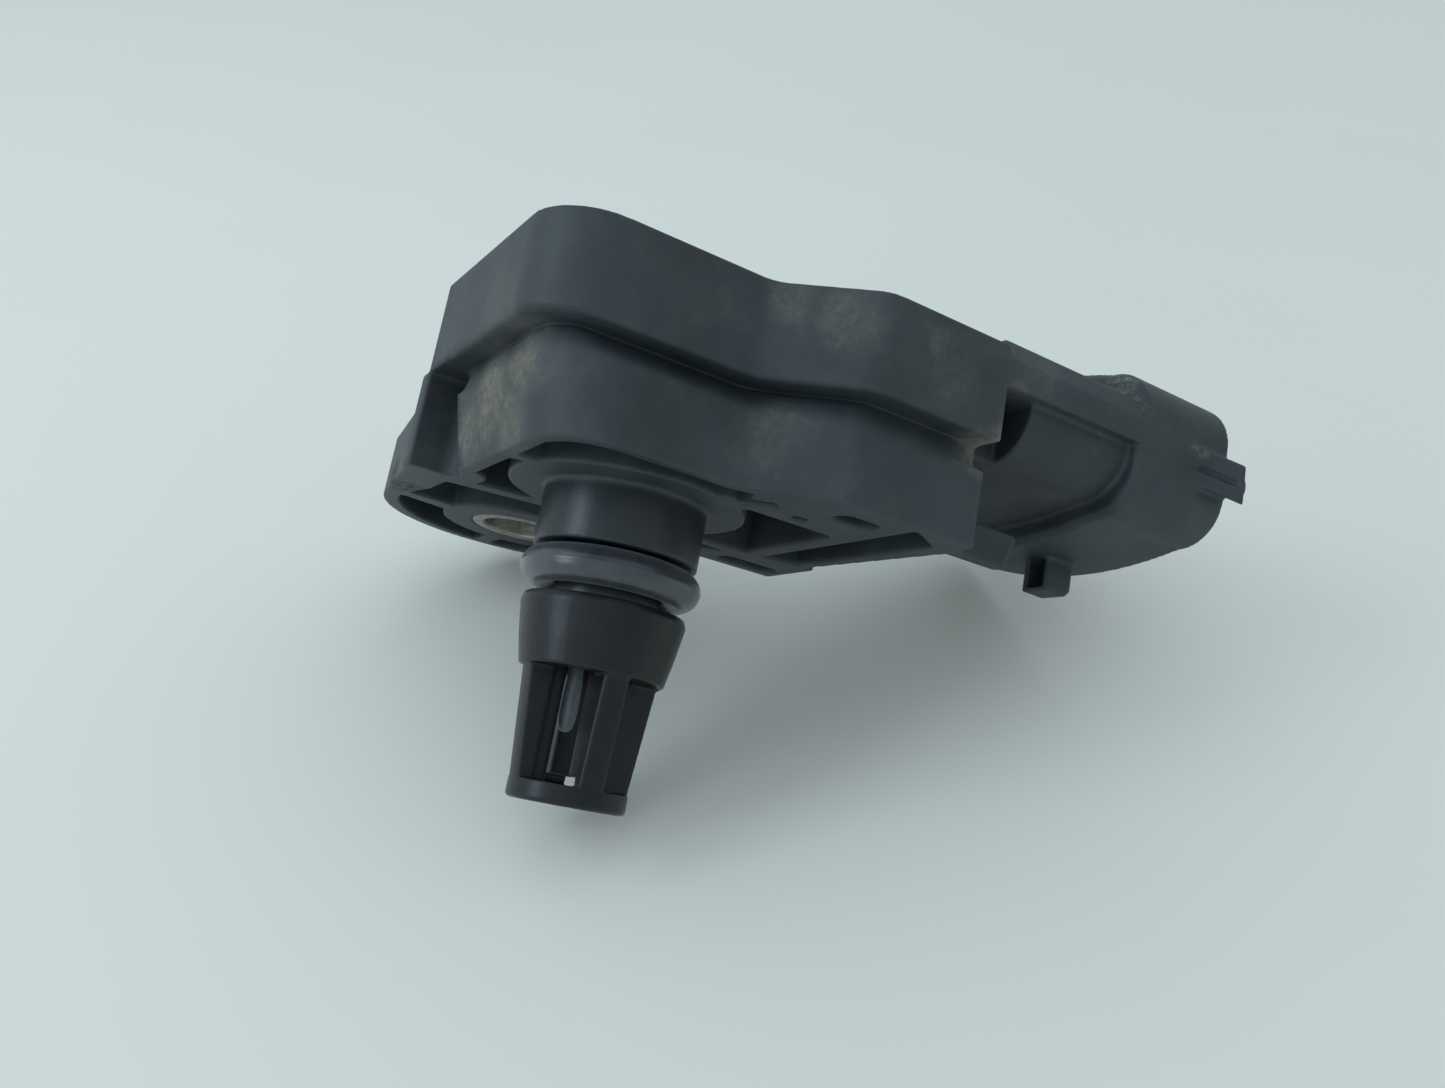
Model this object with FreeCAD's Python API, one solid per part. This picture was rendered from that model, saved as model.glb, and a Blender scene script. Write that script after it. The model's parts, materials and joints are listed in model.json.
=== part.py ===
"""Intake manifold pressure and temperature sensor, built in millimetres.

Origin: the probe axis in the mounting plane, z = 0 being the underside of the flange.
+Z points to the lid and the probe points down, -Z. +X runs to the connector mouth.
+Y runs to the fixing ear.
"""

import FreeCAD, Part

import math
import os

from FreeCAD import Vector

os.makedirs("parts", exist_ok=True)

# Probe tube and the groove for the seal ring
TUBE_R = 5.95
TUBE_END_Z = -4.4
GROOVE_FLOOR_R = 3.9
ORING_CORD_R = 1.35
ORING_PRESS = 0.1
ORING_GAP = 0.2
ORING_CENTRE_Z = TUBE_END_Z - ORING_GAP - ORING_CORD_R
ORING_RING_R = GROOVE_FLOOR_R - ORING_PRESS + ORING_CORD_R
CAGE_TOP_Z = ORING_CENTRE_Z - ORING_CORD_R - 0.7

# Spigot that carries the cage
SPIGOT_R = 3.5
SPIGOT_LEN = 2.6
SPIGOT_CHAMFER = 0.35
SPIGOT_END_Z = CAGE_TOP_Z - SPIGOT_LEN

# Cage: outer radius against depth below its top, then windows and foot ring
CAGE_TOP_R = 5.75
CAGE_PROFILE = [(5.93, 0.5), (5.52, 3.1), (5.15, 4.9)]
WINDOW_STEP = 0.3
WINDOW_LEN = 7.7
WINDOW_TOP_Z = CAGE_TOP_Z - CAGE_PROFILE[-1][1]
WINDOW_END_Z = WINDOW_TOP_Z - WINDOW_LEN
FOOT_H = 1.4
TIP_Z = WINDOW_END_Z - FOOT_H
TIP_R = 4.05
FOOT_WALL = 1.15
CAGE_BORE_R = 3.2
STRUT_W = 1.8
STRUT_ANGLE = -92.0
FIN_Y = 1.75
FIN_GAP = 0.6

# Temperature element and its leads
THERMISTOR_X = -1.0
THERMISTOR_Y = 0.4
THERMISTOR_R = 0.65
THERMISTOR_TOP_Z = SPIGOT_END_Z - 1.3
THERMISTOR_LEN = 5.2
LEAD_R = 0.2
LEAD_PITCH = 1.0

# Pressure port
PORT_X = 2.1
PORT_Y = -0.7
PORT_R = 0.9

# Flange block, its waist and the cored underside
FLANGE_TOP_Z = 5.5
WAIST_H = 1.8
WAIST_INSET = 2.3
WAIST_END_INSET = 0.3
WAIST_TOP_Z = FLANGE_TOP_Z + WAIST_H
WALL_LEFT_X = -12.2
WALL_LEFT_FOOT_X = -10.8
WALL_FRONT_Y = -11.95
WALL_STEP_Y = -16.2
FLANGE_REAR_Y = 10.6
CORNER_R = 4.8
BEND_R = 2.6
RIB_T = 1.1
RING_R = TUBE_R + 2.75
ROOF_T = 1.6
CORE_DEPTH = FLANGE_TOP_Z - ROOF_T
SHALLOW_DEPTH = 2.6

# How far a cutting tool runs past the face that it opens
OVERCUT = 1.0

# Upper band, chamber and lid
BAND_H = 7.0
BAND_TOP_Z = WAIST_TOP_Z + BAND_H
BAND_LEFT_X = -13.9
BAND_FRONT_Y = -12.6
BAND_STEP_Y = -17.85
BAND_END_X = 18.7
BAND_REAR_Y = 8.9
FLANGE_END_X = BAND_END_X + 0.6
RIM_T = 1.5
LEDGE_T = 1.5
GLUE_T = 0.3
LID_T = 1.2
LID_GAP = 0.15
LID_SINK = 0.4
LEDGE_Z = BAND_TOP_Z - LID_SINK - LID_T - GLUE_T
FLOOR_Z = WAIST_TOP_Z - 0.1

# Ear and its bush
BUSH_X = -0.1
BUSH_Y = 20.3
BUSH_BORE_R = 3.3
BUSH_WALL = 1.05
BUSH_OUTER_R = BUSH_BORE_R + BUSH_WALL
BUSH_LEN = 5.7
BUSH_PROUD = 0.2
BUSH_LEAD_IN = 0.25
BOSS_R = BUSH_OUTER_R + 2.55
EAR_X = BUSH_X - 0.3
EAR_Y = BUSH_Y - 0.8
EAR_R = 11.85
EAR_WALL = 1.3
EAR_TOP_Z = FLANGE_TOP_Z - 0.5
EAR_RIGHT_X = 11.4
NOTCH_Y0 = 6.3
NOTCH_Y1 = 8.7
NOTCH_X = -10.3

# Connector
CONN_Y = -4.0
CONN_Z = 11.9
COLLAR_HALF_W = 13.9
COLLAR_HALF_H = 7.2
COLLAR_SIDE = 1.7
COLLAR_CORNER_DROP = 1.3
COLLAR_LEN = 9.7
SHOULDER = 0.45
NECK_GAP = 3.2
NECK_LEN = 9.9
NECK_X0 = BAND_END_X + NECK_GAP
COLLAR_X0 = NECK_X0 + NECK_LEN
MOUTH_X = COLLAR_X0 + COLLAR_LEN
NECK_INSET_Y = 1.1
NECK_INSET_Z = 1.7
COLLAR_WALL = 1.9
NECK_WALL = 1.5
SOCKET_FLOOR_X = NECK_X0 + 3.1
SOCKET_STEP_X = COLLAR_X0 + 0.8
PLATE_X0 = BAND_END_X - 1.2
PLATE_Z0 = CONN_Z - 0.5
PLATE_TOP_Z = BAND_TOP_Z + 0.65
PLATE_CHAMFER_Y = 0.7
PLATE_CHAMFER_Z = 1.6
BRIDGE_HALF_W = 9.4
WEB_HALF_W = 5.0
WEB_Z0 = 2.6
TAB_Y0 = -14.2
TAB_Y1 = -12.9
TAB_LEN = 5.2
TAB_SLANT = 0.9
TAB_H = 2.5

# Guide ribs on the collar's sides, locking nose under it
GUIDE_LEN = 3.8
GUIDE_OUT = 2.0
GUIDE_ROOT = 0.6
GUIDE_NOSE = 0.3
GUIDE_DROOP = 0.5
GUIDE_Z0 = 9.95
GUIDE_Z1 = 13.05
SLIT_Z0 = 11.15
SLIT_H = 0.5
SLIT_DEPTH = 0.8
NOSE_X0 = MOUTH_X - 5.9
NOSE_LEN = 2.8
NOSE_Y0 = -6.1
NOSE_Y1 = -3.3
NOSE_DROP = 2.9
NOSE_WALL = 0.45

# Terminals
BLADE_COUNT = 4
BLADE_PITCH = 5.0
BLADE_W = 1.6
BLADE_T = 0.8
BLADE_POINT = 1.0
BLADE_TAPER = 0.35
BLADE_TIP_X = MOUTH_X - 6.1
PAD_Z = FLOOR_Z + 2.1
PAD_X0 = BAND_END_X - 6.1

# Circuit board
BOARD_T = 0.8
BOARD_TOP_Z = FLOOR_Z + BOARD_T
BOARD_X0 = BAND_LEFT_X + 4.5
BOARD_X1 = PAD_X0 - 1.4
BOARD_Y0 = BAND_FRONT_Y + 5.0
BOARD_Y1 = BAND_REAR_Y - 3.9
BOARD_WING_Y = BAND_STEP_Y + 4.95
BOARD_STEP_X0 = BOARD_X1 - 6.7
BOARD_STEP_X1 = BOARD_X1 - 3.4

# Pressure cell, its dam and its gel
CELL = 2.8
CELL_GAP = 0.3
SEAT_T = 1.2
SEAT_HOLE_R = 0.45
DIE = 2.2
DIE_T = 0.5
DIE_POCKET = 1.2
DIAPHRAGM_T = 0.12
DAM_HALF = 2.3
DAM_H = 1.7
DAM_WALL = 0.45
GEL_DROP = 0.3

# Bond ribbons
RIBBON_T = 0.15
RIBBON_W = 0.7
RIBBON_RISE = 0.55
RIBBON_FOLD = 0.12
RIBBON_FOOT = 0.7
RIBBON_LEAN = 0.4
RIBBON_SEAT = 0.8
RIBBON_BACK = 0.6

# Parts on the board: name, x, y, length, width, height
BOARD_PARTS = [
    ("signal_chip", 7.4, -3.0, 4.4, 4.4, 1.1),
    ("capacitor_1", 7.2, 2.4, 2.0, 1.2, 1.0),
    ("capacitor_2", -4.6, 2.6, 2.0, 1.2, 1.0),
    ("capacitor_3", -7.6, 2.6, 2.0, 1.2, 1.0),
    ("capacitor_4", 3.8, 3.3, 1.6, 0.8, 0.7),
    ("resistor_1", -4.6, -2.0, 1.6, 0.8, 0.45),
    ("resistor_2", -4.6, -4.2, 1.6, 0.8, 0.45),
    ("resistor_3", -7.4, -3.1, 1.6, 0.8, 0.45),
    ("diode_1", -1.2, -5.6, 2.6, 1.5, 1.1),
]


def face_of(points, z=0.0):
    """A flat face through plan points (x, y) or (x, y, corner radius), at height z."""
    n = len(points)
    edges = []
    ends = []
    for i, p in enumerate(points):
        here = Vector(p[0], p[1], z)
        radius = p[2] if len(p) > 2 else 0.0
        before = Vector(points[i - 1][0], points[i - 1][1], z)
        after = Vector(points[(i + 1) % n][0], points[(i + 1) % n][1], z)
        if radius <= 0:
            ends.append((here, None, here))
            continue
        a = (before - here).normalize()
        b = (after - here).normalize()
        half = a.getAngle(b) / 2
        back = radius / math.tan(half)
        middle = (a + b).normalize()
        centre = here + middle * (radius / math.sin(half))
        ends.append((here + a * back, centre - middle * radius, here + b * back))
    for i in range(n):
        start, mid, end = ends[i]
        if mid is not None:
            edges.append(Part.Arc(start, mid, end).toShape())
        following = ends[(i + 1) % n][0]
        if end.distanceToPoint(following) > 1e-6:
            edges.append(Part.makeLine(end, following))
    return Part.Face(Part.Wire(edges))


def prism(points, z0, z1):
    return face_of(points, z0).extrude(Vector(0, 0, z1 - z0))


def box(x0, x1, y0, y1, z0, z1):
    return Part.makeBox(x1 - x0, y1 - y0, z1 - z0, Vector(x0, y0, z0))


def square(half, z0, z1, r=0.0):
    """A square block centred on the pressure port, with its corners rounded by r."""
    corners = [(-half, -half), (half, -half), (half, half), (-half, half)]
    return prism([(PORT_X + dx, PORT_Y + dy, r) for dx, dy in corners], z0, z1)


def rod(x, y, r, z0, z1):
    return Part.makeCylinder(r, z1 - z0, Vector(x, y, z0))


def loft(low, high):
    return Part.makeLoft([low.OuterWire, high.OuterWire], True, True)


def turned(profile):
    """A solid turned about the probe axis from (radius, z) points."""
    points = [Vector(r, 0, z) for r, z in profile]
    points.append(points[0])
    return Part.Face(Part.makePolygon(points)).revolve(Vector(0, 0, 0), Vector(0, 0, 1), 360)


def along_x(face, length):
    return face.extrude(Vector(length, 0, 0))


def profile_along_y(points, y0, y1):
    """A prism along Y from (x, z) points."""
    corners = [Vector(x, y0, z) for x, z in points]
    corners.append(corners[0])
    return Part.Face(Part.makePolygon(corners)).extrude(Vector(0, y1 - y0, 0))


def hand_out(shape, name):
    solid = shape.removeSplitter()
    solid.exportStep("parts/" + name + ".step")
    return solid


def lower_outline(left_x, z):
    """Plan of the flange block: a rounded corner on the left and an S-bend towards the connector."""
    return face_of([
        (left_x, FLANGE_REAR_Y),
        (left_x, WALL_FRONT_Y, CORNER_R),
        (2.3, WALL_FRONT_Y, BEND_R),
        (8.3, WALL_STEP_Y, BEND_R),
        (FLANGE_END_X - 0.3, WALL_STEP_Y, 0.6),
        (FLANGE_END_X + 0.3, TAB_Y0 + 1.0),
        (FLANGE_END_X - 0.8, 3.1),
        (FLANGE_END_X, 3.7),
        (FLANGE_END_X, FLANGE_REAR_Y, 0.5),
    ], z)


def band_outline(z, inset=0.0):
    """Plan of the upper band, or the same outline moved inwards."""
    whole = face_of([
        (BAND_LEFT_X, BAND_REAR_Y),
        (BAND_LEFT_X, BAND_FRONT_Y, CORNER_R),
        (1.9, BAND_FRONT_Y, BEND_R),
        (7.8, BAND_STEP_Y, BEND_R),
        (BAND_END_X, BAND_STEP_Y, 0.4),
        (BAND_END_X, BAND_REAR_Y, 0.4),
    ], z)
    if inset == 0:
        return whole
    return whole.makeOffset2D(-inset)


def connector_section(x, inset_y=0.0, inset_z=0.0):
    """The connector's rounded outline: bulged top and bottom, round corners, short flat sides."""
    w = COLLAR_HALF_W - inset_y
    h = COLLAR_HALF_H - inset_z
    drop = COLLAR_CORNER_DROP * h / COLLAR_HALF_H
    side = COLLAR_SIDE * h / COLLAR_HALF_H
    bulge_end = (w - 3.8, h - drop)
    corner_mid = (w - 0.95, h - drop - 1.25)

    def at(y, z):
        return Vector(x, CONN_Y + y, CONN_Z + z)

    edges = []
    for sz in (1, -1):
        left_end = at(-bulge_end[0], sz * bulge_end[1])
        right_end = at(bulge_end[0], sz * bulge_end[1])
        edges.append(Part.Arc(left_end, at(0, sz * h), right_end).toShape())
        for sy in (1, -1):
            start = at(sy * bulge_end[0], sz * bulge_end[1])
            mid = at(sy * corner_mid[0], sz * corner_mid[1])
            edges.append(Part.Arc(start, mid, at(sy * w, sz * side)).toShape())
    for sy in (1, -1):
        edges.append(Part.makeLine(at(sy * w, side), at(sy * w, -side)))
    return Part.Face(Part.Wire(Part.__sortEdges__(edges)))


def terminal(y):
    """A flat strip with a joggle inside the wall, a bond pad on the shelf and a pointed tip."""
    low = PAD_Z
    high = CONN_Z - BLADE_T / 2
    neck = BLADE_TIP_X - BLADE_POINT
    bend_0 = BAND_END_X - 0.6
    bend_1 = NECK_X0 - 0.9
    fold = 0.25
    strip = profile_along_y([
        (PAD_X0, low), (bend_0, low), (bend_1, high), (neck, high), (BLADE_TIP_X, high + fold),
        (BLADE_TIP_X, high + BLADE_T - fold), (neck, high + BLADE_T), (bend_1 - fold, high + BLADE_T),
        (bend_0 - fold, low + BLADE_T), (PAD_X0, low + BLADE_T),
    ], y - BLADE_W / 2, y + BLADE_W / 2)
    beyond = BLADE_TIP_X + 0.1
    for side in (-1, 1):
        edge = y + side * BLADE_W / 2
        nib = [(neck, edge), (beyond, edge), (beyond, edge - side * BLADE_TAPER)]
        strip = strip.cut(prism(nib, high - 0.1, high + BLADE_T + 0.1))
    return strip


TERMINAL_Y = [CONN_Y + (i - (BLADE_COUNT - 1) / 2) * BLADE_PITCH for i in range(BLADE_COUNT)]
terminals = [terminal(y) for y in TERMINAL_Y]

# Housing: flange block, ear, waist, band and probe tube
flange = loft(lower_outline(WALL_LEFT_FOOT_X, 0.0), lower_outline(WALL_LEFT_X, FLANGE_TOP_Z))
ear = rod(EAR_X, EAR_Y, EAR_R, 0, EAR_TOP_Z)
ear_root = prism([
    (BAND_LEFT_X, NOTCH_Y1 - 0.4),
    (EAR_RIGHT_X, NOTCH_Y1 - 0.4),
    (EAR_RIGHT_X, EAR_Y + 0.7),
    (EAR_X - EAR_R, EAR_Y + 0.7),
], 0, EAR_TOP_Z)
ear_shoulder = box(BAND_LEFT_X, BAND_LEFT_X + 8, NOTCH_Y1, BAND_REAR_Y + 1.4, 0, WAIST_TOP_Z)
waist = band_outline(FLANGE_TOP_Z - 0.5, WAIST_INSET).extrude(Vector(0, 0, WAIST_H + 1.0))
waist_end = box(BAND_END_X - 6, BAND_END_X - WAIST_END_INSET, BAND_STEP_Y + WAIST_INSET, 0,
                FLANGE_TOP_Z - 0.5, WAIST_TOP_Z + 0.5)
band = band_outline(WAIST_TOP_Z).extrude(Vector(0, 0, BAND_H))
boss = rod(BUSH_X, BUSH_Y, BOSS_R, 0, BUSH_LEN - BUSH_PROUD)
tube = rod(0, 0, TUBE_R, TUBE_END_Z, FLOOR_Z)
spigot = turned([
    (0, 1.0), (GROOVE_FLOOR_R, 1.0), (GROOVE_FLOOR_R, CAGE_TOP_Z), (SPIGOT_R, CAGE_TOP_Z),
    (SPIGOT_R, SPIGOT_END_Z + SPIGOT_CHAMFER), (SPIGOT_R - SPIGOT_CHAMFER, SPIGOT_END_Z), (0, SPIGOT_END_Z),
])
housing = flange.fuse([ear, ear_root, ear_shoulder, waist, waist_end, band, boss, tube, spigot])

# The round-ended notch in the left side, open to the outside from the underside to the band
outside = BAND_LEFT_X - 2
notch = prism([
    (outside, NOTCH_Y0), (NOTCH_X, NOTCH_Y0, 1.1), (NOTCH_X, NOTCH_Y1, 1.1), (outside, NOTCH_Y1),
], -1, WAIST_TOP_Z)
housing = housing.cut(notch)

# Connector: neck, collar with a soft shoulder, and the plate over the neck
neck = along_x(connector_section(NECK_X0, NECK_INSET_Y, NECK_INSET_Z), NECK_LEN + 0.1)
shoulder = loft(connector_section(COLLAR_X0, SHOULDER, SHOULDER), connector_section(COLLAR_X0 + SHOULDER))
collar = along_x(connector_section(COLLAR_X0 + SHOULDER), COLLAR_LEN - SHOULDER)
plate_end = COLLAR_X0 + SHOULDER
plate = profile_along_y([
    (PLATE_X0, BAND_TOP_Z - 0.1), (PLATE_X0 + 0.9, PLATE_TOP_Z), (plate_end, PLATE_TOP_Z),
    (plate_end, PLATE_Z0), (PLATE_X0, PLATE_Z0),
], CONN_Y - COLLAR_HALF_W, CONN_Y + COLLAR_HALF_W)
for side in (-1, 1):
    edge = CONN_Y + side * COLLAR_HALF_W
    corner = Part.makePolygon([
        Vector(PLATE_X0 - 1, edge, PLATE_TOP_Z),
        Vector(PLATE_X0 - 1, edge, PLATE_TOP_Z - PLATE_CHAMFER_Z),
        Vector(PLATE_X0 - 1, edge - side * PLATE_CHAMFER_Y, PLATE_TOP_Z),
        Vector(PLATE_X0 - 1, edge, PLATE_TOP_Z),
    ])
    plate = plate.cut(along_x(Part.Face(corner), plate_end - PLATE_X0 + 2))

# What carries the neck: a bridge behind the terminals, a web under it and one thin tab
bridge = box(BAND_END_X - 1, NECK_X0 + 0.5, CONN_Y - BRIDGE_HALF_W, CONN_Y + BRIDGE_HALF_W,
             WAIST_TOP_Z, PLATE_Z0 + 1)
neck_underside = CONN_Z - COLLAR_HALF_H + NECK_INSET_Z
web = box(FLANGE_END_X - 1, NECK_X0 + 1.5, CONN_Y - WEB_HALF_W, CONN_Y + WEB_HALF_W,
          WEB_Z0, neck_underside + 1)
tab_end = FLANGE_END_X + TAB_LEN
tab = profile_along_y([
    (FLANGE_END_X - 1, 0), (tab_end - TAB_SLANT, 0), (tab_end, TAB_H - 0.3), (tab_end - 0.3, TAB_H),
    (FLANGE_END_X - 1, TAB_H),
], TAB_Y0, TAB_Y1)
housing = housing.fuse([neck, shoulder, collar, plate, bridge, web, tab])


def guide_rib(side, inset, z0, z1):
    """A slice of a guide rib: a wedge that ramps out towards the mouth and droops outwards."""
    flank = CONN_Y + side * COLLAR_HALF_W
    root = flank - side * GUIDE_ROOT
    out = flank + side * (GUIDE_OUT - inset)
    ramp = (GUIDE_LEN - GUIDE_NOSE) / GUIDE_OUT
    tip = MOUTH_X - GUIDE_NOSE
    start = tip - ramp * (GUIDE_ROOT + GUIDE_OUT)
    wedge = prism([
        (start + ramp * inset, root), (tip, out), (MOUTH_X, out - side * GUIDE_NOSE), (MOUTH_X, root),
    ], z0 - 3, z1 + 3)
    lift = GUIDE_DROOP * GUIDE_ROOT
    fall = GUIDE_DROOP * GUIDE_OUT
    section = Part.makePolygon([Vector(start, y, z) for y, z in [
        (root, z0 + lift), (flank + side * GUIDE_OUT, z0 - fall),
        (flank + side * GUIDE_OUT, z1 - fall), (root, z1 + lift), (root, z0 + lift),
    ]])
    return along_x(Part.Face(section), MOUTH_X - start).common(wedge)


# Guide ribs with a fine slit along them, and the locking nose with its pocket
ribs = []
for side in (-1, 1):
    ribs.append(guide_rib(side, 0, GUIDE_Z0, SLIT_Z0))
    ribs.append(guide_rib(side, SLIT_DEPTH, SLIT_Z0, SLIT_Z0 + SLIT_H))
    ribs.append(guide_rib(side, 0, SLIT_Z0 + SLIT_H, GUIDE_Z1))
collar_bottom = CONN_Z - COLLAR_HALF_H
nose_bottom = collar_bottom - NOSE_DROP
nose_top = collar_bottom + 1.4
nose_end = NOSE_X0 + NOSE_LEN
nose = profile_along_y([
    (NOSE_X0, nose_bottom + 0.1), (nose_end - 0.5, nose_bottom), (nose_end, nose_bottom + 0.5),
    (nose_end, nose_top), (NOSE_X0, nose_top),
], NOSE_Y0, NOSE_Y1)
nose_pocket = box(NOSE_X0 - 1, nose_end - 2 * NOSE_WALL, NOSE_Y0 + NOSE_WALL, NOSE_Y1 - NOSE_WALL,
                  nose_bottom + NOSE_WALL, collar_bottom)
housing = housing.fuse(ribs + [nose.cut(nose_pocket)])


def pocket(points, depth, keep=(), within=None):
    """A cored pocket in the underside, cut back by the walls that stay."""
    shape = prism(points, 0, depth)
    if within is not None:
        shape = shape.common(within)
    for solid in keep:
        shape = shape.cut(solid)
    return shape


def from_bush(points):
    return [(BUSH_X + p[0], BUSH_Y + p[1]) + tuple(p[2:]) for p in points]


# Coring of the underside: the walls left between the pockets are the ribs
inner_block = lower_outline(WALL_LEFT_FOOT_X, 0.0).makeOffset2D(-RIB_T).extrude(Vector(0, 0, CORE_DEPTH))
ring_keep = rod(0, 0, RING_R, -1, CORE_DEPTH + 1)
boss_keep = rod(BUSH_X, BUSH_Y, BOSS_R, -1, CORE_DEPTH + 1)
notch_keep = rod(NOTCH_X - 0.3, NOTCH_Y1 - 1.2, 2.3, -1, CORE_DEPTH + 1)
ear_inner = rod(EAR_X, EAR_Y, EAR_R - EAR_WALL, 0, CORE_DEPTH).fuse(
    box(EAR_X - EAR_R + 2.1, EAR_RIGHT_X - EAR_WALL, 9.4, EAR_Y, 0, CORE_DEPTH))
left_hollow = [(-9.7, -1.6, 0.5), (-5, -1.6), (-2, 7.5), (-9.7, 8.9, 0.5)]
front_hollow = [(-11, -2.9), (-4, -2.9), (4.6, -9.2), (3.2, -13), (-11, -13)]
middle_hollow = [(5.8, -7.6), (13.1, -7.6, 0.5), (13.1, 4.6, 0.5), (5.8, 4.6)]
bend_slot = [(3.3, -9.3), (5.7, -11.1), (6.5, -10.4), (4.5, -8.4)]
nook = [(8.2, -9.8, 0.3), (9.4, -9.8, 0.3), (9.7, -8.6, 0.3), (8.6, -8.6, 0.3)]
step_hollow = [(9.7, -13.8, 0.9), (13.0, -13.8, 0.9), (13.0, -11.6, 0.9), (9.7, -11.6, 0.9)]
end_hollow = [(14.6, -15.2), (18.0, -13.0, 0.4), (17.7, 3.4, 0.4), (14.6, 4.2)]
corner_slot = [(12.9, 7.2, 1.0), (18.4, 7.2, 1.0), (18.4, 9.4, 1.0), (12.9, 9.4, 1.0)]
rear_hollow = [(5.4, 6.0), (12.0, 6.0), (9.0, 8.4), (2.5, 8.4)]
ear_root_hollow = [
    (-10.1, -9.4, 0.4), (-2.8, -10.8), (8.9, -10.8, 0.4), (10.1, -2.1, 0.4), (0.1, -1.1), (-10.5, -1.9, 0.4),
]
ear_left_hollow = [(-12.4, -0.5), (-5.4, 0.9), (-0.8, 6.7), (-0.8, 12.7), (-12.4, 12.7)]
ear_right_hollow = [(12.6, -0.5), (5.6, 0.9), (0.6, 6.7), (0.6, 12.7), (12.6, 12.7)]
pockets = [
    pocket(left_hollow, CORE_DEPTH, [ring_keep, notch_keep], inner_block),
    pocket(front_hollow, SHALLOW_DEPTH, [ring_keep], inner_block),
    pocket(middle_hollow, CORE_DEPTH, [ring_keep], inner_block),
    pocket(bend_slot, SHALLOW_DEPTH, [ring_keep], inner_block),
    pocket(nook, SHALLOW_DEPTH),
    pocket(step_hollow, CORE_DEPTH),
    pocket(end_hollow, CORE_DEPTH, [], inner_block),
    pocket(corner_slot, CORE_DEPTH),
    pocket(rear_hollow, CORE_DEPTH, [ring_keep]),
    pocket(from_bush(ear_root_hollow), CORE_DEPTH, [boss_keep], ear_inner),
    pocket(from_bush(ear_left_hollow), CORE_DEPTH, [boss_keep], ear_inner),
    pocket(from_bush(ear_right_hollow), CORE_DEPTH, [boss_keep], ear_inner),
]
for shape in pockets:
    housing = housing.cut(shape)

# Chamber under the lid, with the shelf for the terminal pads
recess = band_outline(LEDGE_Z, RIM_T).extrude(Vector(0, 0, BAND_TOP_Z - LEDGE_Z + OVERCUT))
chamber = band_outline(FLOOR_Z, RIM_T + LEDGE_T).extrude(Vector(0, 0, LEDGE_Z - FLOOR_Z + 0.1))
shelf = box(PAD_X0 - 0.4, BAND_END_X - RIM_T / 2, BAND_STEP_Y + RIM_T / 2, BAND_REAR_Y - RIM_T / 2,
            FLOOR_Z - OVERCUT, PAD_Z)
housing = housing.cut(recess).cut(chamber.cut(shelf))

# Bores: bush seat, pressure port, lead ways, terminal slots and the connector socket
mouth_section = connector_section(SOCKET_STEP_X, COLLAR_WALL, COLLAR_WALL)
socket_collar = along_x(mouth_section, MOUTH_X - SOCKET_STEP_X + OVERCUT)
socket_neck = along_x(
    connector_section(SOCKET_FLOOR_X, NECK_INSET_Y + NECK_WALL, NECK_INSET_Z + NECK_WALL),
    SOCKET_STEP_X - SOCKET_FLOOR_X + 0.1)
LEAD_X = [THERMISTOR_X - LEAD_PITCH / 2, THERMISTOR_X + LEAD_PITCH / 2]
bores = [
    rod(BUSH_X, BUSH_Y, BUSH_OUTER_R, -1, BUSH_LEN + 1),
    rod(PORT_X, PORT_Y, PORT_R, SPIGOT_END_Z - 1, FLOOR_Z + 1),
    socket_collar,
    socket_neck,
]
for x in LEAD_X:
    bores.append(rod(x, THERMISTOR_Y, LEAD_R, SPIGOT_END_Z - 1, FLOOR_Z + 1))
for shape in bores + terminals:
    housing = housing.cut(shape)
housing = hand_out(housing, "housing")

# Lid and the bead that bonds it to the ledge
lid = band_outline(LEDGE_Z + GLUE_T, RIM_T + LID_GAP).extrude(Vector(0, 0, LID_T))
hand_out(lid, "lid")
bead = band_outline(LEDGE_Z, RIM_T + LID_GAP + 0.2).cut(band_outline(LEDGE_Z, RIM_T + LEDGE_T - 0.2))
hand_out(bead.extrude(Vector(0, 0, GLUE_T)), "lid_adhesive")

# Compression bush, flush with the mounting face
bush = rod(BUSH_X, BUSH_Y, BUSH_OUTER_R, 0, BUSH_LEN)
bush = bush.cut(rod(BUSH_X, BUSH_Y, BUSH_BORE_R, -1, BUSH_LEN + 1))
wide_r = BUSH_BORE_R + BUSH_LEAD_IN
bush = bush.cut(Part.makeCone(wide_r, BUSH_BORE_R, BUSH_LEAD_IN, Vector(BUSH_X, BUSH_Y, 0)))
top_start = Vector(BUSH_X, BUSH_Y, BUSH_LEN - BUSH_LEAD_IN)
bush = bush.cut(Part.makeCone(BUSH_BORE_R, wide_r, BUSH_LEAD_IN, top_start))
hand_out(bush, "compression_bush")

# Seal ring, pressed a little flat on the groove floor; its cord has many flats, to keep the ring light
CORD_SIDES = 28
cord = []
for i in range(CORD_SIDES):
    turn = 2 * math.pi * i / CORD_SIDES
    across = ORING_CORD_R * math.cos(turn)
    along = ORING_CORD_R * math.sin(turn)
    cord.append((ORING_RING_R + across, ORING_CENTRE_Z + along))
oring = turned(cord).cut(rod(0, 0, GROOVE_FLOOR_R, CAGE_TOP_Z, 0))
hand_out(oring, "o_ring")

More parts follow.
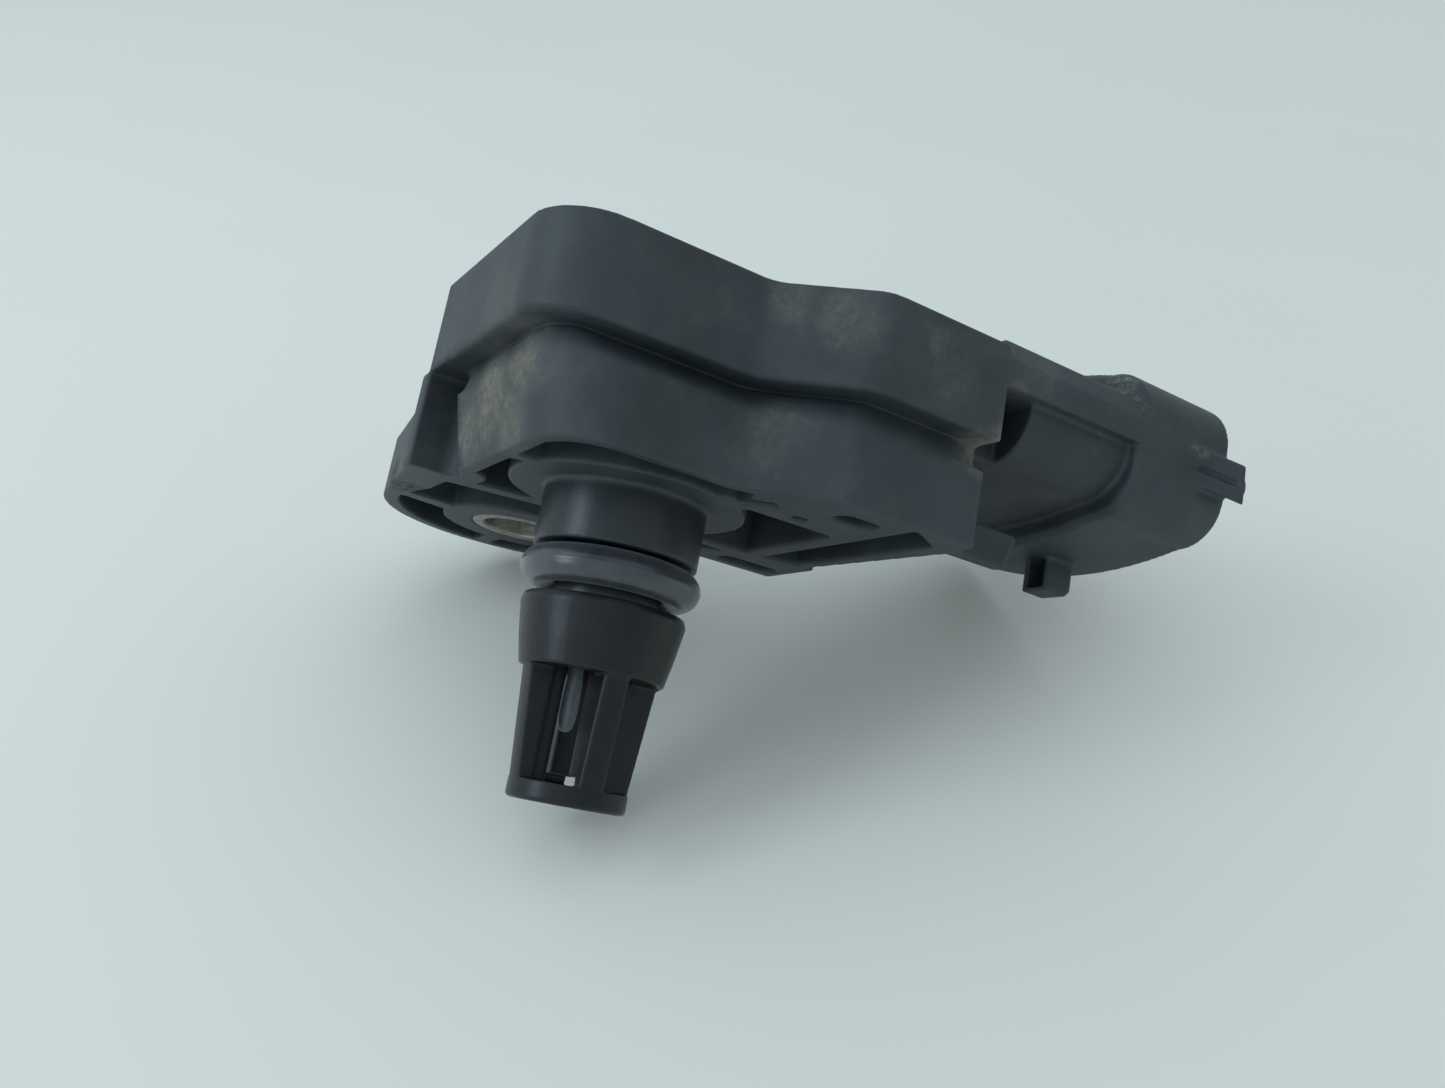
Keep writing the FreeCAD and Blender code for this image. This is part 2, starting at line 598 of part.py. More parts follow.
# Probe cage: a cone on the spigot, four windows and a foot ring
outer = [(r, CAGE_TOP_Z - depth) for r, depth in CAGE_PROFILE]
window_r = CAGE_PROFILE[-1][0] - WINDOW_STEP
foot_r = TIP_R + 0.12
foot_bore_r = TIP_R - FOOT_WALL
cage = turned([(CAGE_TOP_R, CAGE_TOP_Z)] + outer + [
    (window_r, WINDOW_TOP_Z - 0.2), (foot_r, WINDOW_END_Z), (foot_r, TIP_Z + 0.2), (TIP_R - 0.1, TIP_Z),
    (foot_bore_r, TIP_Z), (foot_bore_r, WINDOW_END_Z), (CAGE_BORE_R, WINDOW_END_Z),
    (CAGE_BORE_R, SPIGOT_END_Z), (SPIGOT_R, SPIGOT_END_Z), (SPIGOT_R, CAGE_TOP_Z),
])
struts = box(-STRUT_W / 2, STRUT_W / 2, -8, 8, WINDOW_END_Z - 1, 0)
struts = struts.fuse(box(-8, 8, -STRUT_W / 2, STRUT_W / 2, WINDOW_END_Z - 1, 0))
fin_top = SPIGOT_END_Z - 0.4
fin_end = WINDOW_END_Z + FIN_GAP
fins = box(-STRUT_W / 2, STRUT_W / 2, FIN_Y, 4, fin_end, fin_top)
fins = fins.fuse(box(-STRUT_W / 2, STRUT_W / 2, -4, -FIN_Y, fin_end, fin_top)).common(rod(0, 0, 4, TIP_Z, 0))
for shape in (struts, fins):
    shape.rotate(Vector(0, 0, 0), Vector(0, 0, 1), STRUT_ANGLE + 90)
windows = rod(0, 0, 8, WINDOW_END_Z, WINDOW_TOP_Z).cut(struts)
cage = cage.cut(windows)
within = turned([(0, WINDOW_TOP_Z), (window_r - 0.3, WINDOW_TOP_Z), (foot_r - 0.3, WINDOW_END_Z), (0, WINDOW_END_Z)])
within = within.fuse(rod(0, 0, CAGE_BORE_R + 0.3, WINDOW_TOP_Z, fin_top))
cage = cage.fuse(fins.common(within))
hand_out(cage, "probe_cage")

# Temperature element: a dipped bead with a round end, on two leads
bead_z = THERMISTOR_TOP_Z - THERMISTOR_LEN + THERMISTOR_R
bead_end = Part.makeSphere(THERMISTOR_R, Vector(THERMISTOR_X, THERMISTOR_Y, bead_z))
thermistor = rod(THERMISTOR_X, THERMISTOR_Y, THERMISTOR_R, bead_z, THERMISTOR_TOP_Z).fuse(bead_end)
hand_out(thermistor, "thermistor")
for i, x in enumerate(LEAD_X, 1):
    hand_out(rod(x, THERMISTOR_Y, LEAD_R, THERMISTOR_TOP_Z, BOARD_TOP_Z + 0.4), "thermistor_lead_%d" % i)

for i, shape in enumerate(terminals, 1):
    hand_out(shape, "terminal_%d" % i)

# Circuit board, cut round the pressure cell and drilled for the leads
board = prism([
    (BOARD_X0, BOARD_Y0, 1.0), (BOARD_STEP_X0, BOARD_Y0), (BOARD_STEP_X1, BOARD_WING_Y),
    (BOARD_X1, BOARD_WING_Y, 0.3),
    (BOARD_X1, BOARD_Y1, 0.3), (BOARD_X0, BOARD_Y1, 0.3),
], FLOOR_Z, BOARD_TOP_Z)
board = board.cut(square(CELL / 2 + CELL_GAP, FLOOR_Z - 1, BOARD_TOP_Z + 1))
for x in LEAD_X:
    board = board.cut(rod(x, THERMISTOR_Y, LEAD_R, FLOOR_Z - 1, BOARD_TOP_Z + 1))
hand_out(board, "circuit_board")

# Pressure cell: a glass seat with a hole over the port, and the silicon die on it
DIE_Z = FLOOR_Z + SEAT_T
seat = square(CELL / 2, FLOOR_Z, DIE_Z)
hand_out(seat.cut(rod(PORT_X, PORT_Y, SEAT_HOLE_R, FLOOR_Z - 1, DIE_Z + 1)), "pressure_seat")
die_block = square(DIE / 2, DIE_Z, DIE_Z + DIE_T)
hand_out(die_block.cut(square(DIE_POCKET / 2, DIE_Z - 1, DIE_Z + DIE_T - DIAPHRAGM_T)), "pressure_die")

# Dam on the board, and the gel that covers the cell inside it
dam_top = BOARD_TOP_Z + DAM_H
dam = square(DAM_HALF, BOARD_TOP_Z, dam_top, 0.6)
hand_out(dam.cut(square(DAM_HALF - DAM_WALL, BOARD_TOP_Z - 1, dam_top + 1, 0.3)), "gel_dam")
gel = square(DAM_HALF - DAM_WALL, BOARD_TOP_Z, dam_top - GEL_DROP, 0.3)
hand_out(gel.cut(seat).cut(die_block), "protective_gel")

for name, x, y, length, width, height in BOARD_PARTS:
    body = box(x - length / 2, x + length / 2, y - width / 2, y + width / 2,
               BOARD_TOP_Z, BOARD_TOP_Z + height)
    hand_out(body, name)

# Bond ribbons from the terminal pads to the board
pad_top = PAD_Z + BLADE_T
crest = pad_top + RIBBON_RISE
heel_x = BOARD_X1 - RIBBON_FOOT + 0.2
toe_x = heel_x - RIBBON_FOOT
landing_x = PAD_X0 + RIBBON_BACK
for i, y in enumerate(TERMINAL_Y, 1):
    path = [
        (toe_x, BOARD_TOP_Z), (heel_x, BOARD_TOP_Z), (heel_x + RIBBON_LEAN, crest),
        (landing_x - RIBBON_LEAN, crest), (landing_x, pad_top), (landing_x + RIBBON_SEAT, pad_top),
    ]
    folds = [0, -RIBBON_FOLD, -RIBBON_FOLD, RIBBON_FOLD, RIBBON_FOLD, 0]
    upper = [(x + fold, z + RIBBON_T) for (x, z), fold in zip(path, folds)]
    ribbon = profile_along_y(path + upper[::-1], y - RIBBON_W / 2, y + RIBBON_W / 2)
    hand_out(ribbon, "bond_ribbon_%d" % i)

print("housing valid", housing.isValid(), "solids", len(housing.Solids), "volume", round(housing.Volume, 1))
limits = housing.BoundBox
print("housing x", round(limits.XMin, 2), round(limits.XMax, 2))
print("housing y", round(limits.YMin, 2), round(limits.YMax, 2))
print("housing z", round(limits.ZMin, 2), round(limits.ZMax, 2))
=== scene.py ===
# %% [markdown]
# # An intake manifold pressure and temperature sensor
#
# The part is small and dark: a moulded charcoal body with a probe, a rubber seal ring, a
# windowed cage, an ear with a metal bush, and an oval connector. The CAD model gives every
# piece its size and place. This script gives the pieces the look of the real thing: soft
# moulded edges, dust in the corners, scuffs on the proud edges, and light like a grey day.
#
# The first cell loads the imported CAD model. Each CAD node becomes a Blender object in metres.
# All the sizes below are written in millimetres and multiplied by `MM`.

import json
import math

import bmesh
import bpy
from mathutils import Matrix, Vector, noise


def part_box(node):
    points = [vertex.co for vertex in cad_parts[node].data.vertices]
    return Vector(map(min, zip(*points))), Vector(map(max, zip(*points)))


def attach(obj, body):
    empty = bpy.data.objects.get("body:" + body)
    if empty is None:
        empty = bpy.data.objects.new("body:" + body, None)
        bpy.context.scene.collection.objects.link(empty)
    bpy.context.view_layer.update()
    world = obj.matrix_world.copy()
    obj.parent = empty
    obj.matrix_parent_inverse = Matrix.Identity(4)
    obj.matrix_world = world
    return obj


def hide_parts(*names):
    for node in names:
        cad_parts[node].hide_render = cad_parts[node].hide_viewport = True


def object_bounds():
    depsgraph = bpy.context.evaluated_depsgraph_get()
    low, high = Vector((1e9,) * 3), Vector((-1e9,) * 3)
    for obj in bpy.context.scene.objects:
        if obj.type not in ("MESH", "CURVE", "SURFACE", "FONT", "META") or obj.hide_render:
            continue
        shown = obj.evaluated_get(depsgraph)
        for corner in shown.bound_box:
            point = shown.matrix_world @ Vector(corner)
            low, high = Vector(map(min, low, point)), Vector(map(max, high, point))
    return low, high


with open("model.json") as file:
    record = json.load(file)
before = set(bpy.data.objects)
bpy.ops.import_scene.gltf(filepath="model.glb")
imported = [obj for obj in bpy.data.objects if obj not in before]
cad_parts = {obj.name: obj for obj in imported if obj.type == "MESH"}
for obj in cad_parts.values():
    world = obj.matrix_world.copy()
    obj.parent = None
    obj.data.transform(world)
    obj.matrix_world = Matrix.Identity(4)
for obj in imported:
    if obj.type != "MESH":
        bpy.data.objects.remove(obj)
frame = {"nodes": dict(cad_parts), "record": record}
cad_low, cad_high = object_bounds()

MM = 0.001
PER_MM = 1.0 / MM

cad_size = [round(edge * PER_MM, 2) for edge in cad_high - cad_low]
print("CAD nodes:", len(frame["nodes"]), "size in mm:", cad_size)

# %% [markdown]
# ## Helpers for materials
#
# Colours are given as sRGB hex values, but Blender's sockets want linear light, so one
# function turns hex into linear. A second one adds a node to a shader tree or a geometry tree:
# it sets the node's options, then goes through the inputs, and links a socket or writes a plain
# value. With these two, a material reads from top to bottom like a recipe.

# %% Colour and node helpers
def linear(hex_colour):
    """An sRGB hex colour such as "3f4448" as linear RGBA."""
    channels = [int(hex_colour[i:i + 2], 16) / 255 for i in (0, 2, 4)]
    light = [c / 12.92 if c <= 0.04045 else ((c + 0.055) / 1.055) ** 2.4 for c in channels]
    return (*light, 1.0)


def add(tree, kind, inputs=None, **settings):
    """Adds a node. Inputs go by name or number, and take a value or another node's output."""
    node = tree.nodes.new(kind)
    for option, value in settings.items():
        setattr(node, option, value)
    for key, value in (inputs or {}).items():
        if isinstance(value, bpy.types.NodeSocket):
            tree.links.new(value, node.inputs[key])
        else:
            node.inputs[key].default_value = value
    return node


def new_finish(name, **plain):
    """A material with its Principled shader, whose plain sockets are set by name."""
    material = bpy.data.materials.new(name)
    material.use_nodes = True
    tree = material.node_tree
    shader = tree.nodes["Principled BSDF"]
    for key, value in plain.items():
        shader.inputs[key.replace("_", " ")].default_value = value
    place = add(tree, "ShaderNodeTexCoord").outputs["Object"]
    return material, tree, shader, place


# The mix node keeps a set of sockets for each data type; these are the colour ones.
FACTOR, COLOUR_A, COLOUR_B, COLOUR_OUT = 0, 6, 7, 2

# %% [markdown]
# ## Where the dust lies
#
# The sensor comes out of an engine bay. Tan dust sits on the left wall and in the corners, and
# a few patches lie on the upper band. Each patch is a centre and a radius. The distance to the
# centre is faded out softly, after the place has been shaken by a noise, so that no patch is
# round. A loop keeps the strongest patch at every point.

# %% Dust patches and scuffs
DUST_PATCHES = [  # x, y, z, radius in mm, strength
    (-11.7, -0.9, 4.6, 4.6, 1.5), (-12.1, -6.6, 5.6, 4.0, 1.2), (-11.3, 3.9, 2.5, 3.6, 1.0),
    (-11.2, -4.0, 1.4, 4.0, 0.8), (-13.9, -5.0, 9.0, 4.5, 0.3), (18.6, -16.4, 7.0, 3.2, 1.6),
    (16.4, -16.2, 7.1, 1.6, 0.6), (6.1, -16.0, 12.4, 3.4, 0.55), (3.0, -13.8, 13.0, 2.4, 0.4),
    (12.2, -17.9, 12.0, 1.6, 0.5), (13.6, -17.9, 10.4, 3.4, 0.3), (3.6, -13.5, 4.8, 3.4, 0.35),
    (3.2, -13.3, 2.6, 2.8, 0.3), (24.8, -14.5, 6.6, 4.2, 0.3), (29.5, -12.0, 7.0, 3.4, 0.3),
    (20.9, -17.6, 13.4, 3.0, 0.35), (19.8, -17.9, 11.4, 1.6, 0.5), (-6.5, -4.5, -2.8, 1.8, 0.3),
    (-11.8, 14.0, 2.0, 5.0, 0.55), (0.0, 14.0, 4.0, 9.0, 0.35), (10.0, 3.0, 3.9, 7.0, 0.3),
    (15.8, -6.0, 3.9, 6.0, 0.3),
]
SCUFFS = [  # x, y, z, radius in mm, strength
    (31.6, -15.4, 16.6, 2.2, 0.6), (30.0, -15.2, 14.95, 1.9, 0.5), (31.9, -17.0, 14.6, 1.3, 0.35),
    (28.8, -16.0, 11.3, 1.6, 0.25), (-11.4, 16.7, 0.6, 1.6, 0.35), (38.2, -17.9, 12.9, 1.2, 0.3),
]
FULL_WITHIN = 0.2  # the share of its radius within which a patch has its full strength


def shaken(tree, place, size, amount):
    """The place pushed about by a noise whose lumps are `size` mm, by up to `amount` mm."""
    lumps = add(tree, "ShaderNodeTexNoise",
                {"Vector": place, "Scale": PER_MM / size, "Detail": 4.0})
    centred = add(tree, "ShaderNodeVectorMath", {0: lumps.outputs["Color"], 1: (0.5, 0.5, 0.5)},
                  operation="SUBTRACT")
    push = add(tree, "ShaderNodeVectorMath", {0: centred.outputs[0], "Scale": 2 * amount * MM},
               operation="SCALE")
    moved = add(tree, "ShaderNodeVectorMath", {0: place, 1: push.outputs[0]}, operation="ADD")
    return moved.outputs[0]


def patches(tree, place, spots):
    """One value, 0 to 1: the strongest of the soft patches at each point."""
    strongest = None
    for x, y, z, radius, strength in spots:
        reach = add(tree, "ShaderNodeVectorMath", {0: place, 1: (x * MM, y * MM, z * MM)},
                    operation="DISTANCE").outputs["Value"]
        patch = add(tree, "ShaderNodeMapRange", {
            "Value": reach, "From Min": FULL_WITHIN * radius * MM, "From Max": radius * MM,
            "To Min": strength, "To Max": 0.0}, interpolation_type="SMOOTHSTEP").outputs[0]
        if strongest is None:
            strongest = patch
        else:
            strongest = add(tree, "ShaderNodeMath", {0: strongest, 1: patch},
                            operation="MAXIMUM").outputs[0]
    return strongest


print("dust patches:", len(DUST_PATCHES), "scuffs:", len(SCUFFS))

# %% [markdown]
# ## Three zones of the body plastic
#
# Before the plastic itself, three small recipes say where it differs. The probe is moulded in a
# polished tool, so it is darker, cleaner and shinier than the rest. Dust is a thin film with
# smears, thicker in the patches and broken into fine grains. Rubbed places are the proud edges
# and the scuffs. The edges are found by the Bevel node, which gives the normal of a rounded
# shape: where it parts from the true normal, there is an edge.

# %% Probe, dust and wear
PROBE_Z, PROBE_Z_FULL = -0.1, -0.6  # the polished zone begins and is full, in mm
PROBE_R, PROBE_R_FULL = 7.0, 6.5  # and the same outwards from the probe's axis
CLEANER_PROBE = 0.8  # the share of the film of dust that the probe lacks


def probe_zone(tree, place):
    """1 on the probe and 0 on the rest of the housing."""
    height = add(tree, "ShaderNodeSeparateXYZ", {0: place}).outputs["Z"]
    below = add(tree, "ShaderNodeMapRange", {"Value": height, "From Min": PROBE_Z * MM,
                                             "From Max": PROBE_Z_FULL * MM})
    flat = add(tree, "ShaderNodeVectorMath", {0: place, 1: (1.0, 1.0, 0.0)}, operation="MULTIPLY")
    radius = add(tree, "ShaderNodeVectorMath", {0: flat.outputs[0]}, operation="LENGTH")
    near = add(tree, "ShaderNodeMapRange", {"Value": radius.outputs["Value"],
                                            "From Min": PROBE_R * MM,
                                            "From Max": PROBE_R_FULL * MM})
    return add(tree, "ShaderNodeMath", {0: below.outputs[0], 1: near.outputs[0]},
               operation="MULTIPLY").outputs[0]


def settled_dust(tree, moved, grains, smears, on_probe, outside_painted_shade, dust_share):
    """0 to 1: how much of the plastic the dust hides."""
    film = add(tree, "ShaderNodeMapRange", {"Value": smears, "From Min": 0.42, "From Max": 0.72,
                                            "To Min": 0.04, "To Max": 0.2})
    kept = add(tree, "ShaderNodeMath", {0: on_probe, 1: -CLEANER_PROBE, 2: 1.0},
               operation="MULTIPLY_ADD")
    thin = add(tree, "ShaderNodeMath", {0: film.outputs[0], 1: kept.outputs[0]},
               operation="MULTIPLY")
    cover = add(tree, "ShaderNodeMath", {0: patches(tree, moved, DUST_PATCHES),
                                         1: thin.outputs[0]}, operation="ADD")
    broken = add(tree, "ShaderNodeMapRange", {"Value": grains, "From Min": 0.34, "From Max": 0.68,
                                              "To Min": 0.2, "To Max": 1.0})
    lying = add(tree, "ShaderNodeMath", {0: cover.outputs[0], 1: broken.outputs[0]},
                operation="MULTIPLY")
    settled = add(tree, "ShaderNodeMath", {0: lying.outputs[0], 1: outside_painted_shade},
                  operation="MULTIPLY")
    return add(tree, "ShaderNodeMath", {0: settled.outputs[0], 1: dust_share},
               operation="MULTIPLY", use_clamp=True).outputs[0]


def rubbed_places(tree, moved, grains, rounded_normal, outside_painted_shade):
    """0 to 1: a little on every proud edge, more in the scuffs, which are mottled, not lined."""
    true_normal = add(tree, "ShaderNodeNewGeometry").outputs["Normal"]
    facing = add(tree, "ShaderNodeVectorMath", {0: rounded_normal, 1: true_normal},
                 operation="DOT_PRODUCT")
    edge = add(tree, "ShaderNodeMapRange", {"Value": facing.outputs["Value"], "From Min": 0.995,
                                            "From Max": 0.9, "To Min": 0.0, "To Max": 0.07})
    rubbed = add(tree, "ShaderNodeMath", {0: edge.outputs[0], 1: outside_painted_shade},
                 operation="MULTIPLY")
    flecks = add(tree, "ShaderNodeMapRange", {"Value": grains, "From Min": 0.46, "From Max": 0.62})
    scuffed = add(tree, "ShaderNodeMath", {0: flecks.outputs[0],
                                           1: patches(tree, moved, SCUFFS)}, operation="MULTIPLY")
    return add(tree, "ShaderNodeMath", {0: rubbed.outputs[0], 1: scuffed.outputs[0]},
               operation="ADD", use_clamp=True).outputs[0]

# %% [markdown]
# ## Glass-filled PBT: the body, the lid and the cage
#
# PBT is a tough polyester plastic, filled here with short glass fibres, and moulded in a
# fine-textured tool. That gives the eye a dull charcoal with a cool tint, a slight unevenness
# where the fibres flowed, and edges that go pale when they are rubbed. The colour comes from two
# charcoals mixed by large lumps of noise, then a slicker one on the probe, then painted shade
# where the mesh says so in an attribute, then dust, then wear. The streaks along the flow are
# faint, so they are in the bump only.
#
# The cage is moulded in a darker and cleaner grade, so the same function makes its plastic too.

# %% Body plastic
CLOUD, SMEAR, GRAIN, STREAK = 7.0, 3.0, 0.6, 0.8  # the sizes of the noise lumps, in mm
FINE_GRAIN = 0.25  # really 0.12 mm, drawn coarser so that it shows
FLOW_STRETCH = (0.12, 1.0, 1.0)  # squeezing the place along X makes lumps long
EDGE_R = 0.3
# The first colour below is painted shade: a darker charcoal laid where shade falls, in the waist's
# groove, under the neck and at the flange's end. The share after it says how strongly that painted
# shade keeps dust and wear away.
PAINTED_SHADE_COLOUR, DARK_DUST, PALE_DUST, RUBBED = "1f2427", "5e5a50", "88857b", "99978d"
PAINTED_SHADE_HIDES = 1.6  # how strongly grime keeps dust and wear away
PROBE_POLISH, DUST_DULLS = 0.2, 0.45  # roughness lost on the probe, added under dust


def moulded_plastic(name, dark, light, slick, dust_share, ior):
    """The body's plastic, from two charcoals, the probe's colour and a share of the dust."""
    material, tree, shader, place = new_finish(name, IOR=ior)
    lumps = add(tree, "ShaderNodeTexNoise",
                {"Vector": place, "Scale": PER_MM / CLOUD, "Detail": 3.0}).outputs["Fac"]
    clouds = add(tree, "ShaderNodeMapRange", {"Value": lumps, "From Min": 0.35, "From Max": 0.65})
    body = add(tree, "ShaderNodeMix", {FACTOR: clouds.outputs[0], COLOUR_A: linear(dark),
                                       COLOUR_B: linear(light)}, data_type="RGBA")
    on_probe = probe_zone(tree, place)
    bare = add(tree, "ShaderNodeMix", {FACTOR: on_probe, COLOUR_A: body.outputs[COLOUR_OUT],
                                       COLOUR_B: linear(slick)}, data_type="RGBA")

    # Painted shade darkens the groove of the waist and a few spots where shade falls; the housing's
    # mesh says where, in its attribute
    painted_shade = add(tree, "ShaderNodeAttribute", attribute_name="painted_shade").outputs["Fac"]
    base = add(tree, "ShaderNodeMix", {FACTOR: painted_shade, COLOUR_A: bare.outputs[COLOUR_OUT],
                                       COLOUR_B: linear(PAINTED_SHADE_COLOUR)}, data_type="RGBA")
    outside_painted_shade = add(tree, "ShaderNodeMath", {0: painted_shade, 1: -PAINTED_SHADE_HIDES, 2: 1.0},
                         operation="MULTIPLY_ADD", use_clamp=True).outputs[0]

    # Dust, in two tans mixed by the smears
    moved = shaken(tree, place, 2.5, 1.6)
    grains = add(tree, "ShaderNodeTexNoise", {"Vector": place, "Scale": PER_MM / GRAIN,
                                              "Detail": 7.0, "Roughness": 0.72}).outputs["Fac"]
    smears = add(tree, "ShaderNodeTexNoise", {"Vector": moved, "Scale": PER_MM / SMEAR,
                                              "Detail": 5.0, "Roughness": 0.6}).outputs["Fac"]
    dust = settled_dust(tree, moved, grains, smears, on_probe, outside_painted_shade, dust_share)
    tan = add(tree, "ShaderNodeMix", {FACTOR: smears, COLOUR_A: linear(DARK_DUST),
                                      COLOUR_B: linear(PALE_DUST)}, data_type="RGBA")
    dusty = add(tree, "ShaderNodeMix", {FACTOR: dust, COLOUR_A: base.outputs[COLOUR_OUT],
                                        COLOUR_B: tan.outputs[COLOUR_OUT]}, data_type="RGBA")

    # Rubbed edges and scuffs
    rounded_normal = add(tree, "ShaderNodeBevel", {"Radius": EDGE_R * MM}, samples=6).outputs[0]
    wear = rubbed_places(tree, moved, grains, rounded_normal, outside_painted_shade)
    worn = add(tree, "ShaderNodeMix", {FACTOR: wear, COLOUR_A: dusty.outputs[COLOUR_OUT],
                                       COLOUR_B: linear(RUBBED)}, data_type="RGBA")
    tree.links.new(worn.outputs[COLOUR_OUT], shader.inputs["Base Color"])

    # Roughness: the mould's grain, smoother on the probe, duller under dust
    dullness = add(tree, "ShaderNodeMapRange", {"Value": grains, "From Min": 0.3, "From Max": 0.7,
                                                "To Min": 0.48, "To Max": 0.6})
    polished = add(tree, "ShaderNodeMath", {0: on_probe, 1: -PROBE_POLISH,
                                            2: dullness.outputs[0]}, operation="MULTIPLY_ADD")
    with_dust = add(tree, "ShaderNodeMath", {0: dust, 1: DUST_DULLS, 2: polished.outputs[0]},
                    operation="MULTIPLY_ADD", use_clamp=True)
    tree.links.new(with_dust.outputs[0], shader.inputs["Roughness"])

    # Bump: the fine grain on the rounded normal, then the long streaks of the flow
    texture = add(tree, "ShaderNodeTexNoise",
                  {"Vector": place, "Scale": PER_MM / FINE_GRAIN, "Detail": 3.0}).outputs["Fac"]
    grain = add(tree, "ShaderNodeBump", {"Height": texture, "Strength": 0.18,
                                         "Distance": 0.03 * MM, "Normal": rounded_normal})
    along = add(tree, "ShaderNodeMapping", {"Vector": place, "Scale": FLOW_STRETCH})
    streak = add(tree, "ShaderNodeTexNoise", {"Vector": along.outputs[0],
                                              "Scale": PER_MM / STREAK,
                                              "Detail": 2.0}).outputs["Fac"]
    flow = add(tree, "ShaderNodeBump", {"Height": streak, "Strength": 0.1, "Distance": 0.05 * MM,
                                        "Normal": grain.outputs[0]})
    tree.links.new(flow.outputs[0], shader.inputs["Normal"])
    return material


body_pbt = moulded_plastic("glass_filled_pbt", "262f34", "323b41", "20272c", 1.0, 1.52)
cage_pbt = moulded_plastic("cage_pbt", "0d1113", "121619", "0f1316", 0.3, 1.44)
print("body plastic nodes:", len(body_pbt.node_tree.nodes))

# %% [markdown]
# ## Rubber, metals and the rest
#
# The other finishes follow one recipe: two close colours, a noise at the grain's real size,
# roughness that varies a little, and a fine bump. Metals keep the default IOR and differ in
# their colour and in the direction of their marks, which a stretched place gives.

# %% Other finishes
def speckled(name, dark, light, size, rough, bump, stretch=(1.0, 1.0, 1.0), **plain):
    """A finish of two colours broken by noise lumps of `size` mm, with rough = (low, high)."""
    material, tree, shader, place = new_finish(name, **plain)
    stretched = add(tree, "ShaderNodeMapping", {"Vector": place, "Scale": stretch})
    lumps = add(tree, "ShaderNodeTexNoise", {"Vector": stretched.outputs[0],
                                             "Scale": PER_MM / size, "Detail": 5.0}).outputs["Fac"]
    tone = add(tree, "ShaderNodeMapRange", {"Value": lumps, "From Min": 0.35, "From Max": 0.65})
    colour = add(tree, "ShaderNodeMix", {FACTOR: tone.outputs[0], COLOUR_A: linear(dark),
                                         COLOUR_B: linear(light)}, data_type="RGBA")
    tree.links.new(colour.outputs[COLOUR_OUT], shader.inputs["Base Color"])
    dull = add(tree, "ShaderNodeMapRange", {"Value": lumps, "From Min": 0.3, "From Max": 0.7,
                                            "To Min": rough[0], "To Max": rough[1]})
    tree.links.new(dull.outputs[0], shader.inputs["Roughness"])
    relief = add(tree, "ShaderNodeBump", {"Height": lumps, "Strength": bump, "Distance": 0.03 * MM})
    tree.links.new(relief.outputs[0], shader.inputs["Normal"])
    return material


FINISHES = {
    "body_plastic": body_pbt,
    "cage_plastic": cage_pbt,
    # Glue squeezed out round the lid: near black, half shiny
    "adhesive": speckled("cured_silicone_adhesive", "151617", "1d1f20", 0.6, (0.3, 0.45), 0.3,
                         IOR=1.41),
    # Steel tube with zinc gone dull: warm grey, marked round the axis
    "bush_metal": speckled("tarnished_zinc_steel", "8e8a80", "b4b1a8", 0.5, (0.34, 0.52), 0.35,
                           stretch=(1.0, 1.0, 4.0), Metallic=1.0),
    # Moulded rubber with an oily skin: blue black, with a soft sheen
    "seal_rubber": speckled("dull_nitrile_rubber", "232a30", "2f373e", 1.1, (0.26, 0.38), 0.3,
                            IOR=1.62, Sheen_Weight=0.2, Coat_Weight=0.4, Coat_Roughness=0.3),
    # A drop of epoxy that set by itself: pale blue grey and smooth
    "thermistor_coat": speckled("dipped_epoxy_bead", "687277", "788388", 0.7, (0.3, 0.42), 0.2,
                                IOR=1.55),
    # Drawn wire under tin: bright, with marks along its length
    "wire_metal": speckled("tinned_wire", "a5a7a6", "c3c5c4", 0.3, (0.25, 0.4), 0.2,
                           stretch=(1.0, 1.0, 0.2), Metallic=1.0),
    # Stamped brass under tin: a warmer white, rolled along the blade
    "terminal_metal": speckled("tinned_brass", "b3ae9c", "cac6b6", 0.4, (0.22, 0.36), 0.15,
                               stretch=(0.15, 1.0, 1.0), Metallic=1.0),
    # Fired alumina: chalk white and dull
    "board_ceramic": speckled("alumina_board", "d6d4cc", "e6e4dd", 0.8, (0.45, 0.6), 0.2,
                              IOR=1.76),
    # Polished silicon: a dark grey mirror
    "silicon": speckled("polished_silicon", "4b5058", "5c626b", 0.6, (0.08, 0.16), 0.05,
                        Metallic=0.6),
    # Filled epoxy from a blasted tool: black and fine-grained
    "chip_plastic": speckled("moulded_epoxy", "17181a", "202224", 0.25, (0.5, 0.65), 0.3,
                             IOR=1.55),
    # Fired dielectric: tan, with a slight glaze
    "passive_ceramic": speckled("fired_ceramic", "86704f", "9a8361", 0.3, (0.35, 0.5), 0.2,
                                IOR=1.7),
    # Ground glass: half clear and pale green
    "cell_glass": speckled("ground_glass", "c7d2cf", "dbe4e1", 0.5, (0.2, 0.35), 0.1, IOR=1.47,
                           Transmission_Weight=0.6),
    # Soft silicone gel: clear and wet
    "gel": speckled("clear_silicone_gel", "dfe6ea", "f0f4f6", 0.9, (0.05, 0.12), 0.05, IOR=1.41,
                    Transmission_Weight=0.9),
}

for row in frame["record"]["subparts"]:
    cad = frame["nodes"][row["node"]]
    cad.data.materials.clear()
    cad.data.materials.append(FINISHES[row["material_slot"]])
print("finishes:", len(FINISHES))

